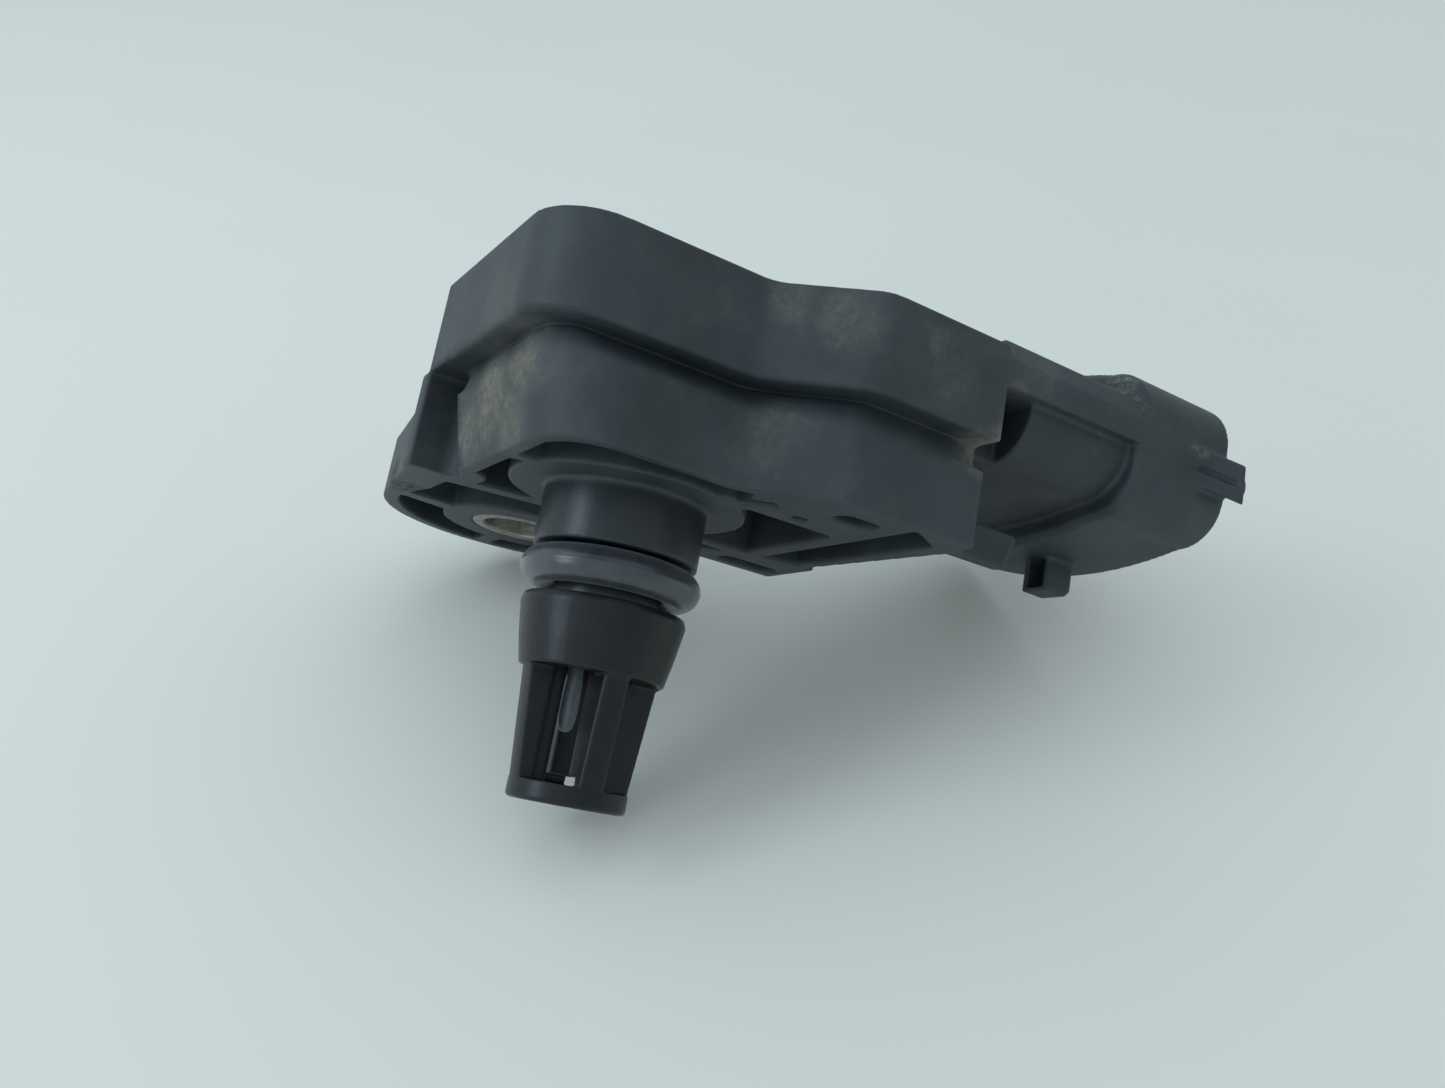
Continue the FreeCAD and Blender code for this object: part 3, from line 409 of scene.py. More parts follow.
# %% [markdown]
# ## Soft moulded edges
#
# The CAD solids have knife-sharp edges. The real housing came out of a steel tool, and every
# edge and inner corner has a small round to it. Rounding thousands of CAD edges one by one
# breaks where short edges meet. Remeshing is surer: a fine voxel skin is laid over the solid,
# a few rounds of smoothing wear its edges down by about a voxel, and a decimation takes the
# points back out of the flat faces. Weighted normals then keep those flats looking flat.
#
# The CAD mesh itself is never touched. A copy is taken, and its loose triangles are merged
# first, because the remesh needs a closed skin. Small fillings can be added to the copy as the
# hulls of a few corners, and the skin joins them to the rest.

# %% Copies, skins and finished pieces
def new_object(name, data):
    """An object for a mesh, a lamp or a camera, linked into the scene."""
    thing = bpy.data.objects.new(name, data)
    bpy.context.scene.collection.objects.link(thing)
    return thing


def evaluated(piece):
    """The piece's mesh with its modifiers worked out, as plain data."""
    graph = bpy.context.evaluated_depsgraph_get()
    graph.update()
    return bpy.data.meshes.new_from_object(piece.evaluated_get(graph))


def merged_copy(name, node, fillings=()):
    """A copy of a CAD node, its doubled vertices merged, with the hulls of some corners added."""
    form = bmesh.new()
    form.from_mesh(frame["nodes"][node].data)
    bmesh.ops.remove_doubles(form, verts=form.verts, dist=0.001 * MM)
    for points in fillings:
        corners = [form.verts.new(Vector(point) * MM) for point in points]
        hull = bmesh.ops.convex_hull(form, input=corners)
        faces = [item for item in hull["geom"] if isinstance(item, bmesh.types.BMFace)]
        bmesh.ops.recalc_face_normals(form, faces=faces)
    mesh = bpy.data.meshes.new(name)
    form.to_mesh(mesh)
    form.free()
    return new_object(name, mesh)


def settle(piece, mesh, node, slot):
    """Gives a piece its final mesh and finish, and lets it stand for a CAD node."""
    piece.modifiers.clear()
    piece.data = mesh
    mesh.materials.clear()
    mesh.materials.append(FINISHES[slot])
    for polygon in mesh.polygons:
        polygon.use_smooth = True
    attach(piece, "root")
    if node is not None:
        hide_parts(node)
    triangles = sum(len(polygon.vertices) - 2 for polygon in mesh.polygons)
    print(piece.name, "triangles:", triangles)

# %% Moulded skin
WEAR_ROUNDS = 60


def worn_down(piece, soft_zone):
    """The piece's mesh, smoothed many times where soft_zone gives a point a share of wear."""
    softer = piece.vertex_groups.new(name="softer")
    for vertex in piece.data.vertices:
        share = soft_zone(vertex.co * PER_MM)
        if share > 0:
            softer.add([vertex.index], share, "REPLACE")
    wear_down = piece.modifiers.new("wear_down", "SMOOTH")
    wear_down.factor = 0.5
    wear_down.iterations = WEAR_ROUNDS
    wear_down.vertex_group = "softer"
    mesh = evaluated(piece)
    piece.modifiers.clear()
    piece.vertex_groups.clear()
    return mesh


def moulded(name, node, slot, voxel, rounds, triangles, fillings=(), reshape=None, soft_zone=None):
    """A CAD node with softened edges: voxel size in mm, rounds of smoothing, triangles kept."""
    piece = merged_copy(name, node, fillings)
    skin = piece.modifiers.new("skin", "REMESH")
    skin.mode = "VOXEL"
    skin.voxel_size = voxel * MM
    soften = piece.modifiers.new("soften", "SMOOTH")
    soften.factor = 0.5
    soften.iterations = rounds
    dense = evaluated(piece)
    piece.modifiers.clear()
    piece.data = dense
    if reshape is not None:
        reshape(dense)
    if soft_zone is not None:
        dense = worn_down(piece, soft_zone)
        piece.data = dense
    lighten = piece.modifiers.new("lighten", "DECIMATE")
    lighten.ratio = min(1.0, triangles / (2 * len(dense.polygons)))
    flats = piece.modifiers.new("flats", "WEIGHTED_NORMAL")
    flats.keep_sharp = False
    for polygon in dense.polygons:
        polygon.use_smooth = True
    settle(piece, evaluated(piece), node, slot)
    return piece

# %% [markdown]
# ## The worn places and the painted shade of the housing
#
# Three things set the housing apart from its solid. A screwdriver caught the ear's left
# corner, so the points there are pushed about by a noise. The groove of the waist reads as a
# soft slope and not as a ledge, so its flat floor is raised towards the band, and the lips of
# the groove are smoothed many times. Last, painted shade darkens the groove deep under the band,
# the plastic under the neck and the flange's end, where shade falls. The mesh carries the amount
# at each point in an attribute, which the body plastic reads, because this shade follows the
# shape, as round patches can't.

# %% The chewed corner
CHEWED_AT = Vector((-11.3, 16.6, 0.4))
CHEWED_REACH, CHEWED_DEPTH = 2.6, 0.45
CHEWED_WAY = Vector((0.9, 0.0, 0.5))
WIDE_PITS, FINE_PITS, FINE_SHARE = 1.6, 3.9, 0.6  # pits per mm, and how much the fine ones count


def chew(mesh):
    """Pits and lifts the plastic round the damaged corner of the ear."""
    for vertex in mesh.vertices:
        spot = vertex.co * PER_MM
        away = (spot - CHEWED_AT).length / CHEWED_REACH
        if away < 1.0:
            fade = 1.0 - away * away
            pit = noise.noise(spot * WIDE_PITS) + FINE_SHARE * noise.noise(spot * FINE_PITS)
            vertex.co += CHEWED_WAY * (pit * CHEWED_DEPTH * fade) * MM

# %% The groove of the waist
# The lower block's top and the band's underside, and the left and front faces, all in mm
BLOCK_TOP, BAND_UNDER = 5.5, 7.3
BLOCK_LEFT, WAIST_LEFT, BAND_LEFT = -12.2, -11.6, -13.9
BLOCK_FRONT, WAIST_FRONT, BAND_FRONT = -11.95, -10.3, -12.6
# The S-bend brings the fronts forwards on its way along X
BEND_START, BEND_RUN = 2.1, 5.9
BLOCK_BEND, BAND_BEND = 4.25, 5.25
# The groove is shaped in front of its back and up to its end, where the slope fades out
GROOVE_BACK, GROOVE_END, END_FADE = 5.0, 18.2, 1.5
GROOVE_FILL = 0.95  # how much of the groove's height the slope takes up at the waist
SKIN_SLACK = 0.1  # how far the skin may lie outside a CAD face
LEFT_LEAD = 0.6  # how far outside the block the slope begins on the left
# The lips and the waist wear down within these, measured from the band's front and mid groove
WALL_DEPTH, WEAR_END = 3.0, 17.6
WEAR_HALF, WEAR_FADE = 2.3, 0.8


def clamped(value):
    return max(0.0, min(1.0, value))


def fronts(x):
    """Front faces of the block, the waist and the band at x, along the S-bend."""
    bend = clamped((x - BEND_START) / BEND_RUN)
    return (BLOCK_FRONT - BLOCK_BEND * bend, WAIST_FRONT - BAND_BEND * bend,
            BAND_FRONT - BAND_BEND * bend)


def behind_band(spot):
    """How far a point lies behind the nearer of the band's front and left faces."""
    return min(spot.y - fronts(spot.x)[2], spot.x - BAND_LEFT)


def slope_the_waist(mesh):
    """Turns the groove's flat floor into a slope that rises towards the waist."""
    height = BAND_UNDER - BLOCK_TOP
    for vertex in mesh.vertices:
        x, y, z = vertex.co * PER_MM
        in_groove = BLOCK_TOP - SKIN_SLACK < z < BAND_UNDER
        if in_groove and x < GROOVE_END + SKIN_SLACK and y < GROOVE_BACK:
            block, waist = fronts(x)[:2]
            inwards = clamped(min((y - block) / (waist - block),
                                  (x - BLOCK_LEFT + LEFT_LEAD) / (WAIST_LEFT - BLOCK_LEFT)))
            raised = GROOVE_FILL * inwards * clamped((GROOVE_END - x) / END_FADE)
            share = clamped((z - BLOCK_TOP) / height)
            vertex.co.z = (BLOCK_TOP + (raised + (1 - raised) * share) * height) * MM


def shape_housing(mesh):
    """Both changes that wear makes to the housing."""
    slope_the_waist(mesh)
    chew(mesh)


def waist_share(spot):
    """1 on the outer face of the recessed waist and its lips, fading to 0 away from them."""
    if behind_band(spot) > WALL_DEPTH or spot.y > GROOVE_BACK or spot.x > WEAR_END:
        return 0.0
    return clamped((WEAR_HALF - abs(spot.z - (BLOCK_TOP + BAND_UNDER) / 2)) / WEAR_FADE)

# %% Painted shade
# Painted shade: the spots below darken the plastic under the neck and at the flange's end, where
# shade falls, and the groove under the band is darkened too.
PAINTED_SHADE_SPOTS = [  # x, y, z, radius in mm, strength: under the neck and the flange's end
    (22.0, -14.2, 1.2, 3.6, 0.9), (25.5, -14.0, 7.6, 7.5, 0.6), (29.5, -9.5, 6.4, 5.5, 0.6),
    (31.6, -14.6, 6.6, 2.6, 0.4), (22.0, -15.5, 13.8, 2.2, 0.4),
]
SPOT_RISE = 1.3  # over 1, so that a spot is at its strongest before its very middle
GROOVE_PAINTED_SHADE = 0.35
SHADE_BELOW, SHADE_ABOVE = 0.2, 0.3  # how far it spills past the block's top and the band
SHADE_BACK, SHADE_END = 9.0, 18.0
LIP_FADE, FLOOR_FADE = 0.6, 0.8  # over what depth and height it comes to its full strength


def painted_shade_share(spot):
    """How much painted shade lies at a point: deep in the groove under the band, and round the
    spots.
    """
    most = 0.0
    for x, y, z, reach, strength in PAINTED_SHADE_SPOTS:
        away = (spot - Vector((x, y, z))).length / reach
        most = max(most, strength * clamped(SPOT_RISE * (1.0 - away)))
    depth = behind_band(spot)
    in_groove = BLOCK_TOP - SHADE_BELOW < spot.z < BAND_UNDER + SHADE_ABOVE
    if in_groove and spot.y < SHADE_BACK and depth < WALL_DEPTH:
        groove = (clamped(depth / LIP_FADE)
                  * clamped((spot.z - BLOCK_TOP + SHADE_BELOW) / FLOOR_FADE)
                  * clamped((SHADE_END - spot.x) / END_FADE))
        most = max(most, GROOVE_PAINTED_SHADE * groove)
    return most

# %% [markdown]
# ## The housing and the slits in its guide ribs
#
# The connector has a guide rib on each flank, with a fine slit that stops short of the rib's
# end. The solid's slit is a deep notch that runs right through. So before the skin is laid, a
# wedge brings up the slit's floor, and a plug closes its end. Each is drawn as a small plan,
# how far along X and how far out from the flank, and made into the corners of a hull.

# %% Housing
FLANKS = ((-17.9, -1), (9.9, 1))  # where the flank is in Y, and the way it faces
RIB_START, RIB_END, RIB_OUT, RIB_DROOP = 37.7, 41.5, 2.0, 0.5
RIB_FLAT = 0.3  # the rib's end, which no longer rises
RIB_SLOPE = (RIB_END - RIB_FLAT - RIB_START) / RIB_OUT
SLIT_LOW, SLIT_HIGH, SLIT_DEPTH = 11.15, 11.65, 0.42
PLUG, PLUG_DIP, PLUG_END_DIP = 0.5, 0.06, 0.02
SUNK, OVERLAP = -0.6, 0.1  # how far a filling reaches into the flank and the slit's walls


def slit_filling(flank, side, plan):
    """The corners of a filling of a slit, from its plan: how far along X and how far out."""
    return [(x, flank + side * out, z - RIB_DROOP * out) for x, out in plan
            for z in (SLIT_LOW - OVERLAP, SLIT_HIGH + OVERLAP)]


floor_out = RIB_OUT - SLIT_DEPTH
floor_plan = [(RIB_START + RIB_SLOPE * (SUNK + SLIT_DEPTH), SUNK),
              (RIB_START + RIB_SLOPE * RIB_OUT, floor_out), (RIB_END, floor_out), (RIB_END, SUNK)]
plug_plan = [(RIB_END - PLUG, SUNK), (RIB_END - PLUG, RIB_OUT - PLUG_DIP),
             (RIB_END, RIB_OUT - PLUG_END_DIP), (RIB_END, SUNK)]
slit_fillings = [slit_filling(flank, side, plan)
                 for flank, side in FLANKS for plan in (floor_plan, plug_plan)]

body = moulded("moulded_housing", "housing", "body_plastic", voxel=0.15, rounds=4,
               triangles=188000, fillings=slit_fillings, reshape=shape_housing,
               soft_zone=waist_share)
# The painted shade's share at each point of the housing goes into the mesh attribute that the body
# plastic reads.
painted_shade = body.data.attributes.new("painted_shade", "FLOAT", "POINT")
painted_shade.data.foreach_set("value", [painted_shade_share(v.co * PER_MM) for v in body.data.vertices])

# %% [markdown]
# ## The cage, the lid and the glue
#
# Four struts carry the cage's foot ring round the bead. The two at the sides have a fin on
# their inner face, which closes the view through the windows, so a hull for each is added
# before the skin. The lid and the glue under it need nothing but soft edges.

# %% Cage, lid and sealing bead
STRUT_TURN = math.radians(-2.0)
FIN_IN, FIN_HALF_W = 2.1, 0.85  # from the probe's axis, and half across
FIN_UP, FIN_OUT_LOW = 1.2, 3.3  # the fin's foot above the cage's, and its outer face
FIN_DOWN, FIN_OUT_HIGH = 3.2, 3.6  # its top below the cage's, and its outer face there


def turned_about_probe(x, y, z):
    return (x * math.cos(STRUT_TURN) - y * math.sin(STRUT_TURN),
            x * math.sin(STRUT_TURN) + y * math.cos(STRUT_TURN), z)


cage_low, cage_high = [corner * PER_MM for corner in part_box("probe_cage")]
fin_ends = ((cage_low.z + FIN_UP, FIN_OUT_LOW), (cage_high.z - FIN_DOWN, FIN_OUT_HIGH))
side_fins = [[turned_about_probe(side * x, y, z)
              for z, out in fin_ends for x in (FIN_IN, out) for y in (-FIN_HALF_W, FIN_HALF_W)]
             for side in (-1, 1)]
moulded("slotted_cage", "probe_cage", "cage_plastic", voxel=0.09, rounds=3, triangles=60000,
        fillings=side_fins)
moulded("closing_lid", "lid", "body_plastic", voxel=0.15, rounds=4, triangles=16000)
moulded("sealing_bead", "lid_adhesive", "adhesive", voxel=0.1, rounds=3, triangles=12000)

# %% [markdown]
# ## The seal ring
#
# A seal ring is a round cord bent into a circle, and where the two halves of its mould met it
# keeps a fine line of flash, outside and inside. That is a rule, not a sculpture, so Geometry
# Nodes make it: a profile circle is swept along a ring, and the points near the mid height are
# pushed outwards a little. The inner side is held back to the floor of its groove, on which the
# real ring is squeezed.

# %% Helpers for geometry trees
def new_tree(name, sizes):
    """An empty geometry tree with a named input for each size, in millimetres."""
    tree = bpy.data.node_groups.new(name, "GeometryNodeTree")
    for label, value in sizes.items():
        socket = tree.interface.new_socket(label, in_out="INPUT", socket_type="NodeSocketFloat")
        socket.default_value = value * MM
    tree.interface.new_socket("Mesh", in_out="OUTPUT", socket_type="NodeSocketGeometry")
    return tree, add(tree, "NodeGroupInput").outputs, add(tree, "NodeGroupOutput")


def close_tree(tree, result, made, slot):
    """Ends a geometry tree: instances are made real, and the finish is set."""
    real = add(tree, "GeometryNodeRealizeInstances", {0: made.outputs[0]})
    painted = add(tree, "GeometryNodeSetMaterial", {"Geometry": real.outputs[0],
                                                    "Material": FINISHES[slot]})
    tree.links.new(painted.outputs[0], result.inputs[0])


def grown(name, tree, sizes=None):
    """An object whose mesh the tree makes, with its sizes set by the sockets' identifiers."""
    piece = new_object(name, bpy.data.meshes.new(name))
    modifier = piece.modifiers.new(name, "NODES")
    modifier.node_group = tree
    for socket in tree.interface.items_tree:
        if socket.in_out == "INPUT" and sizes and socket.name in sizes:
            modifier[socket.identifier] = sizes[socket.name] * MM
    return piece

# %% Seal ring
RING = {"Ring Radius": 5.15, "Cord Radius": 1.35, "Height": -5.95, "Flash": 0.05,
        "Flash Width": 0.13, "Groove Radius": 3.9}

tree, size, result = new_tree("seal_ring", RING)
loop = add(tree, "GeometryNodeCurvePrimitiveCircle", {"Resolution": 180,
                                                      "Radius": size["Ring Radius"]})
profile = add(tree, "GeometryNodeCurvePrimitiveCircle", {"Resolution": 64,
                                                         "Radius": size["Cord Radius"]})
swept = add(tree, "GeometryNodeCurveToMesh", {"Curve": loop.outputs[0],
                                              "Profile Curve": profile.outputs[0]})
where = add(tree, "ShaderNodeSeparateXYZ", {0: add(tree, "GeometryNodeInputPosition").outputs[0]})
flat_way = add(tree, "ShaderNodeCombineXYZ", {"X": where.outputs[0], "Y": where.outputs[1]})
outwards = add(tree, "ShaderNodeVectorMath", {0: flat_way.outputs[0]}, operation="NORMALIZE")
reach = add(tree, "ShaderNodeVectorMath", {0: flat_way.outputs[0]}, operation="LENGTH")
height = add(tree, "ShaderNodeMath", {0: where.outputs[2]}, operation="ABSOLUTE")
ridge = add(tree, "ShaderNodeMapRange", {"Value": height.outputs[0], "From Min": 0.0,
                                         "From Max": size["Flash Width"], "To Min": size["Flash"],
                                         "To Max": 0.0})
beyond = add(tree, "ShaderNodeMath", {0: reach.outputs["Value"], 1: size["Ring Radius"]},
             operation="GREATER_THAN")
outer_ridge = add(tree, "ShaderNodeMath", {0: ridge.outputs[0], 1: beyond.outputs[0]},
                  operation="MULTIPLY")
with_ridge = add(tree, "ShaderNodeMath", {0: reach.outputs["Value"], 1: outer_ridge.outputs[0]},
                 operation="ADD")
held_back = add(tree, "ShaderNodeMath", {0: with_ridge.outputs[0], 1: size["Groove Radius"]},
                operation="MAXIMUM")
level = add(tree, "ShaderNodeMath", {0: where.outputs[2], 1: size["Height"]}, operation="ADD")
lifted = add(tree, "ShaderNodeCombineXYZ", {"Z": level.outputs[0]})
placed = add(tree, "ShaderNodeVectorMath", {0: outwards.outputs[0], 1: held_back.outputs[0],
                                            2: lifted.outputs[0]}, operation="MULTIPLY_ADD")
ring = add(tree, "GeometryNodeSetPosition", {"Geometry": swept.outputs[0],
                                             "Position": placed.outputs[0]})
close_tree(tree, result, ring, "seal_rubber")

seal = grown("rubber_seal_ring", tree)
settle(seal, evaluated(seal), "o_ring", "seal_rubber")

# %% [markdown]
# ## Turned and dipped pieces
#
# The bush is cut from steel tube and its ends are broken with a small round. The temperature
# bead is a wire joint dipped in epoxy, so it swells below and creeps up the two leads in a
# cone. Both are round about an axis, so a profile is spun about it.

# %% Bush and bead
def spun(name, profile, centre, steps=96):
    """A closed mesh from (radius, z) points in mm, spun about a vertical axis at `centre`."""
    form = bmesh.new()
    points = [form.verts.new((radius, 0.0, z)) for radius, z in profile]
    rim = [form.edges.new(pair) for pair in zip(points, points[1:])]
    bmesh.ops.spin(form, geom=points + rim, cent=(0, 0, 0), axis=(0, 0, 1),
                   angle=2 * math.pi, steps=steps)
    bmesh.ops.remove_doubles(form, verts=form.verts, dist=0.001)
    bmesh.ops.recalc_face_normals(form, faces=form.faces)
    for vertex in form.verts:
        vertex.co = (vertex.co + Vector((*centre, 0.0))) * MM
    mesh = bpy.data.meshes.new(name)
    form.to_mesh(mesh)
    form.free()
    return new_object(name, mesh)


def rounded(corner_r, corner_z, from_angle, radius, steps=6):
    """Points of a quarter round about (corner_r, corner_z), turning clockwise."""
    turns = [math.radians(from_angle - 90 * i / steps) for i in range(steps + 1)]
    return [(corner_r + radius * math.cos(a), corner_z + radius * math.sin(a)) for a in turns]


BUSH_AT = (-0.1, 20.3)
BUSH_BORE, BUSH_OUTER, BUSH_TOP = 3.3, 4.35, 5.7
INNER_ROUND, OUTER_ROUND = 0.28, 0.12
bush_profile = (
    rounded(BUSH_BORE + INNER_ROUND, BUSH_TOP - INNER_ROUND, 180, INNER_ROUND)
    + rounded(BUSH_OUTER - OUTER_ROUND, BUSH_TOP - OUTER_ROUND, 90, OUTER_ROUND)
    + rounded(BUSH_OUTER - OUTER_ROUND, OUTER_ROUND, 0, OUTER_ROUND)
    + rounded(BUSH_BORE + INNER_ROUND, INNER_ROUND, 270, INNER_ROUND)
)
bush = spun("steel_bush", bush_profile + bush_profile[:1], BUSH_AT)
settle(bush, bush.data, "compression_bush", "bush_metal")

BEAD_AT = (-1.0, 0.4)
BEAD_PROFILE = [  # radius, depth below the bead's top
    (0.0, 0.0), (0.3, 0.02), (0.42, 0.16), (0.5, 0.5), (0.56, 1.0), (0.61, 1.8), (0.645, 2.8),
    (0.65, 3.7), (0.63, 4.3), (0.56, 4.75), (0.42, 5.03), (0.22, 5.17), (0.0, 5.2),
]
bead_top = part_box("thermistor")[1].z * PER_MM
bead = spun("dipped_bead", [(r, bead_top - depth) for r, depth in BEAD_PROFILE], BEAD_AT, 48)
dip = bead.modifiers.new("dip", "SUBSURF")
dip.levels = dip.render_levels = 1
settle(bead, evaluated(bead), "thermistor", "thermistor_coat")

# %% [markdown]
# ## Terminals, ribbons and the parts on the board
#
# The stamped terminals and the moulded chips are boxes with broken edges, so a Bevel modifier
# is enough for them. Ceramic chips carry a cap of tinned metal at each end: one small tree
# makes the body and another both caps, and each chip takes its sizes from its CAD node.

# %% Stamped and moulded small parts
def bevelled(name, node, slot, width):
    """A CAD node's copy with every sharp edge broken by `width` mm."""
    piece = merged_copy(name, node)
    flat = bmesh.new()
    flat.from_mesh(piece.data)
    bmesh.ops.dissolve_limit(flat, angle_limit=math.radians(1), verts=flat.verts, edges=flat.edges)
    flat.to_mesh(piece.data)
    flat.free()
    bevel = piece.modifiers.new("edges", "BEVEL")
    bevel.width = width * MM
    bevel.segments = 2
    bevel.limit_method = "ANGLE"
    bevel.use_clamp_overlap = True
    flats = piece.modifiers.new("flats", "WEIGHTED_NORMAL")
    flats.keep_sharp = False
    settle(piece, evaluated(piece), node, slot)


for i in range(1, 5):
    bevelled("contact_blade_%d" % i, "terminal_%d" % i, "terminal_metal", 0.06)
    bevelled("aluminium_ribbon_%d" % i, "bond_ribbon_%d" % i, "wire_metal", 0.02)
for name, node in (("asic_package", "signal_chip"), ("diode_package", "diode_1")):
    bevelled(name, node, "chip_plastic", 0.08)
for node, slot, width in (("circuit_board", "board_ceramic", 0.04),
                          ("gel_dam", "chip_plastic", 0.06),
                          ("pressure_seat", "cell_glass", 0.04),
                          ("pressure_die", "silicon", 0.02)):
    bevelled("fine_" + node, node, slot, width)

# %% Chips with end caps
CAP_SHARE, CAP_PROUD, CHIP_EDGE = 0.24, 0.03, 0.03
CHIPS = ["capacitor_%d" % i for i in range(1, 5)] + ["resistor_%d" % i for i in range(1, 4)]
chip_sizes = {"Length": 2.0, "Width": 1.2, "Height": 1.0, "Cap": 0.4, "Proud": CAP_PROUD}

tree, size, result = new_tree("chip_body", chip_sizes)
body_tree = tree
slim = [add(tree, "ShaderNodeMath", {0: size[label], 1: size["Proud"]}, operation="SUBTRACT")
        for label in ("Width", "Height")]
inside = add(tree, "ShaderNodeMath", {0: size["Length"], 1: size["Cap"]}, operation="SUBTRACT")
core_size = add(tree, "ShaderNodeCombineXYZ", {"X": inside.outputs[0], "Y": slim[0].outputs[0],
                                               "Z": slim[1].outputs[0]})
core = add(tree, "GeometryNodeMeshCube", {"Size": core_size.outputs[0]})
close_tree(tree, result, core, "passive_ceramic")

tree, size, result = new_tree("chip_caps", chip_sizes)
caps_tree = tree
cap_size = add(tree, "ShaderNodeCombineXYZ", {"X": size["Cap"], "Y": size["Width"],
                                              "Z": size["Height"]})
cap = add(tree, "GeometryNodeMeshCube", {"Size": cap_size.outputs[0]})
apart = add(tree, "ShaderNodeMath", {0: size["Length"], 1: size["Cap"]}, operation="SUBTRACT")
half = add(tree, "ShaderNodeMath", {0: apart.outputs[0], 1: 0.5}, operation="MULTIPLY")
far_end = add(tree, "ShaderNodeCombineXYZ", {"X": half.outputs[0]})
near_end = add(tree, "ShaderNodeVectorMath", {0: far_end.outputs[0], "Scale": -1.0},
               operation="SCALE")
ends = add(tree, "GeometryNodeMeshLine", {"Count": 2, "Start Location": near_end.outputs[0],
                                          "Offset": far_end.outputs[0]}, mode="END_POINTS")
caps = add(tree, "GeometryNodeInstanceOnPoints", {"Points": ends.outputs[0],
                                                  "Instance": cap.outputs[0]})
close_tree(tree, result, caps, "wire_metal")


def on_board(name, tree, node):
    """The tree's mesh at a chip's own size, moved to the chip's place on the board."""
    low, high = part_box(node)
    length, width, height = (high - low) * PER_MM
    piece = grown(name, tree, {"Length": length, "Width": width, "Height": height,
                               "Cap": CAP_SHARE * length, "Proud": CAP_PROUD})
    broken = piece.modifiers.new("broken_edges", "BEVEL")
    broken.width = CHIP_EDGE * MM
    broken.segments = 2
    mesh = evaluated(piece)
    mesh.transform(Matrix.Translation((low + high) / 2))
    return piece, mesh


all_caps = bmesh.new()
for node in CHIPS:
    piece, mesh = on_board("fired_" + node, body_tree, node)
    settle(piece, mesh, node, "chip_plastic" if node.startswith("resistor") else "passive_ceramic")
    cap_piece, cap_mesh = on_board("cap_pair", caps_tree, node)
    all_caps.from_mesh(cap_mesh)
    bpy.data.objects.remove(cap_piece)
caps_mesh = bpy.data.meshes.new("tinned_end_caps")
all_caps.to_mesh(caps_mesh)
all_caps.free()
settle(new_object("tinned_end_caps", caps_mesh), caps_mesh, None, "wire_metal")

# %% [markdown]
# ## The camera
#
# The picture was taken close by, from below the part and to its left. The camera's place and
# turn were worked out from corners of the part, so they are given here as a position and the
# directions of the picture's right and down. The third axis follows from those two.

# %% Camera
PHOTO_W = 1445
FOCAL_PIXELS = 1230.72
SENSOR_W = 36.0

eye = Vector((-35.24, -79.58, -20.77)) * MM
right = Vector((0.8434, -0.5071, 0.1777)).normalized()
down = Vector((0.2602, 0.0961, -0.9608))
forward = right.cross(down).normalized()
down = forward.cross(right)

camera_data = bpy.data.cameras.new("camera")
camera_data.sensor_fit = "HORIZONTAL"
camera_data.sensor_width = SENSOR_W
camera_data.lens = FOCAL_PIXELS / PHOTO_W * SENSOR_W
camera_data.clip_start = 0.005
camera_data.clip_end = 10.0
camera = new_object("camera", camera_data)
turn = Matrix((right, -down, -forward)).transposed().to_4x4()
camera.matrix_world = Matrix.Translation(eye) @ turn
bpy.context.scene.camera = camera
print("lens in mm:", round(camera_data.lens, 2))

# %% [markdown]
# ## The floor
#
# The part was not standing as it is fitted: it leans on the tip of its probe, the rim of its ear
# and the bottom of its connector. So the floor is a tilted plane through those three points,
# let down until it clears every vertex. Its material is only there from above. Seen from behind
# it is clear, so that a view from under the part stays open.

# %% Floor
TIP = Vector((0.0, 4.0, -22.0))
EAR_RIM = Vector((-0.4, 31.35, 0.0))
MOUTH_BOTTOM = Vector((41.5, 6.0, 5.8))
FLOOR_REACH = 1.5  # metres from the middle to each side
FLOOR_CLEARANCE = 0.02
FLOOR_MOTTLE = 14.0  # lumps of the floor's tint to a metre

floor_up = (MOUTH_BOTTOM - TIP).cross(EAR_RIM - TIP).normalized()
lowest = min(v.co.dot(floor_up) for cad in frame["nodes"].values() for v in cad.data.vertices)
floor_side = floor_up.orthogonal().normalized()
floor_back = floor_up.cross(floor_side)
middle = floor_up * (lowest - FLOOR_CLEARANCE * MM)
corners = [middle + (floor_side * a + floor_back * b) * FLOOR_REACH
           for a, b in ((-1, -1), (1, -1), (1, 1), (-1, 1))]
floor_mesh = bpy.data.meshes.new("floor")
floor_mesh.from_pydata(corners, [], [(0, 1, 2, 3)])
floor = new_object("floor", floor_mesh)

floor_paint, tree, shader, place = new_finish("pale_floor", Roughness=0.9)
mottle = add(tree, "ShaderNodeTexNoise",
             {"Vector": place, "Scale": FLOOR_MOTTLE, "Detail": 2.0}).outputs["Fac"]
tint = add(tree, "ShaderNodeMix", {FACTOR: mottle, COLOUR_A: linear("f3f2ea"),
                                   COLOUR_B: linear("f8f7f0")}, data_type="RGBA")
tree.links.new(tint.outputs[COLOUR_OUT], shader.inputs["Base Color"])
clear = add(tree, "ShaderNodeBsdfTransparent")
behind = add(tree, "ShaderNodeNewGeometry").outputs["Backfacing"]
one_sided = add(tree, "ShaderNodeMixShader", {0: behind, 1: shader.outputs[0], 2: clear.outputs[0]})
tree.links.new(one_sided.outputs[0], tree.nodes["Material Output"].inputs["Surface"])
floor_mesh.materials.append(floor_paint)
print("floor faces up along:", [round(c, 2) for c in floor_up])

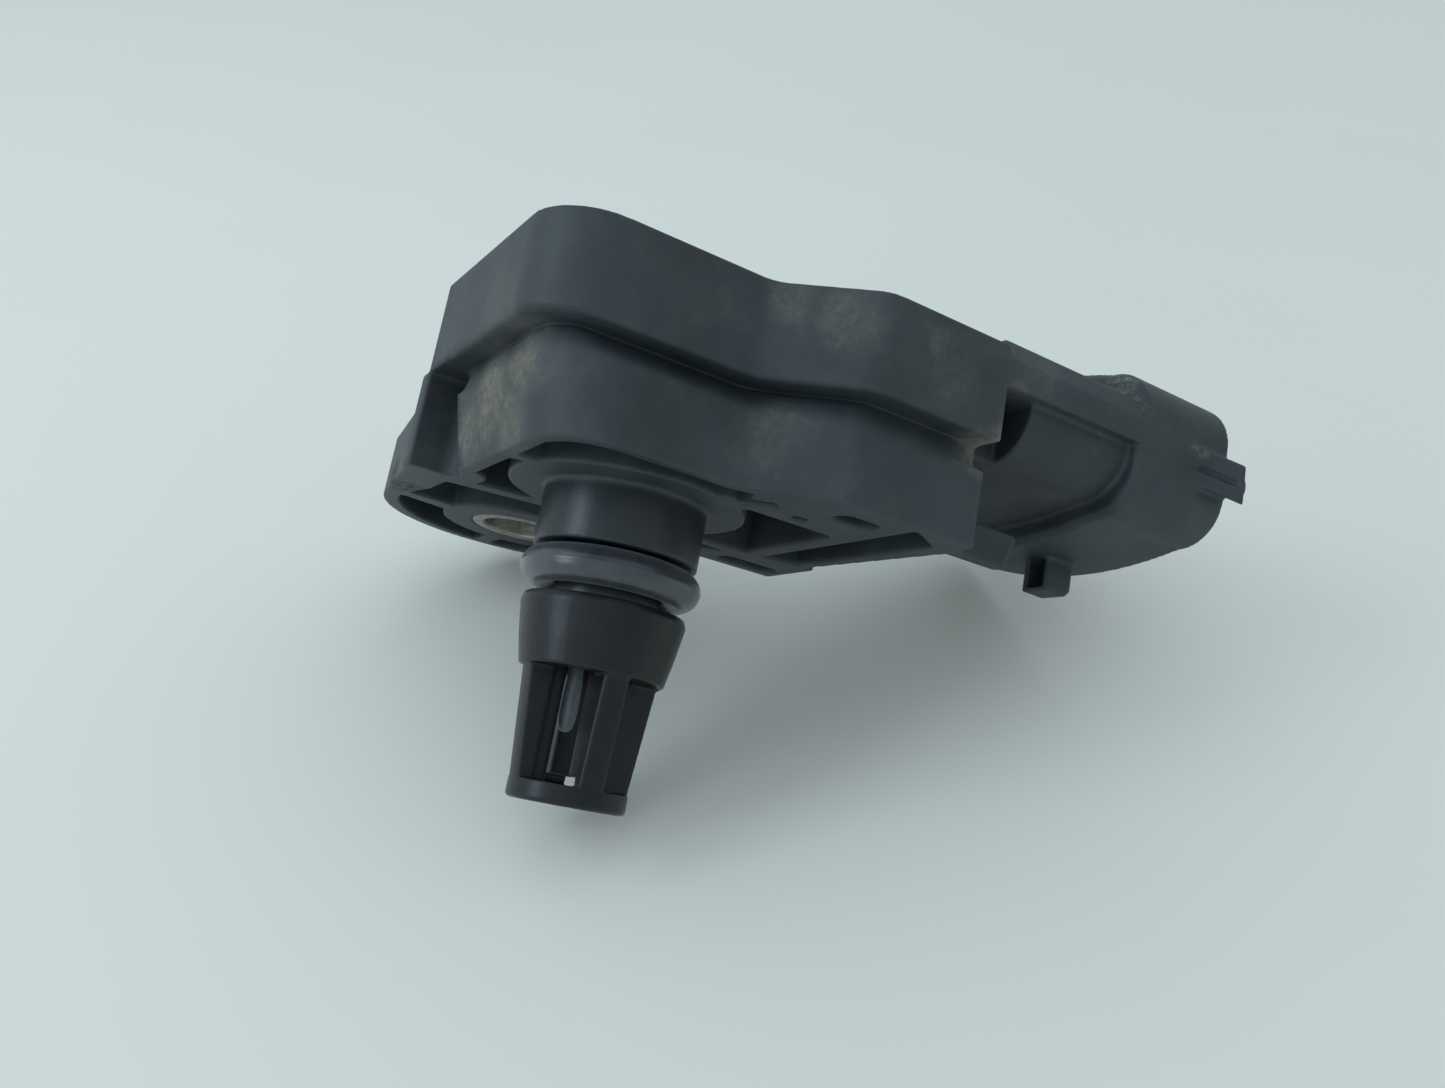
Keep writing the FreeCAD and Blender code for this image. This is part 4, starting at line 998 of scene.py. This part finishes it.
# %% [markdown]
# ## Light like a grey day
#
# The photograph has no hard shadow, so a pale sky surrounds the part and does most of the work.
# Its colour fades to a darker tone round one fixed direction, in front and to the right, as if
# a grey wall stood there. The left edges then keep a cool sheen, while the front is dimmer. A
# soft lamp, like a small window on the left, gives the sheen on the polished probe and its ring.

# %% Lights and sky
LAMP_TOWARDS = Vector((-0.97, -0.08, 0.06)).normalized()
LAMP_DISTANCE, LAMP_WIDTH, LAMP_HEIGHT = 0.45, 0.15, 0.4  # metres
LAMP_POWER = 0.5  # watts
SKY_STRENGTH = 0.86
DIM_TOWARDS = Vector((0.6, -0.8, 0.0)).normalized()
DIM_FROM, DIM_TO = math.cos(math.radians(80)), math.cos(math.radians(25))

lamp_data = bpy.data.lights.new("bright_sky", "AREA")
lamp_data.shape = "ELLIPSE"
lamp_data.size, lamp_data.size_y = LAMP_WIDTH, LAMP_HEIGHT
lamp_data.energy = LAMP_POWER
lamp_data.color = linear("dcefff")[:3]
lamp = new_object("bright_sky", lamp_data)
lamp.location = (cad_low + cad_high) / 2 + LAMP_TOWARDS * LAMP_DISTANCE
lamp.rotation_mode = "QUATERNION"
lamp.rotation_quaternion = LAMP_TOWARDS.to_track_quat("Z", "Y")

world = bpy.data.worlds.new("grey_day")
bpy.context.scene.world = world
world.use_nodes = True
tree = world.node_tree
sky = tree.nodes["Background"]
direction = add(tree, "ShaderNodeTexCoord").outputs["Generated"]
towards = add(tree, "ShaderNodeVectorMath", {0: direction, 1: DIM_TOWARDS},
              operation="DOT_PRODUCT")
dim = add(tree, "ShaderNodeMapRange", {"Value": towards.outputs["Value"], "From Min": DIM_FROM,
                                       "From Max": DIM_TO}, interpolation_type="SMOOTHSTEP")
sky_colour = add(tree, "ShaderNodeMix", {FACTOR: dim.outputs[0], COLOUR_A: linear("d9e8ef"),
                                         COLOUR_B: linear("bcc8ce")}, data_type="RGBA")
tree.links.new(sky_colour.outputs[COLOUR_OUT], sky.inputs["Color"])
sky.inputs["Strength"].default_value = SKY_STRENGTH
bpy.context.scene.view_settings.view_transform = "Standard"
print("sky strength:", SKY_STRENGTH)
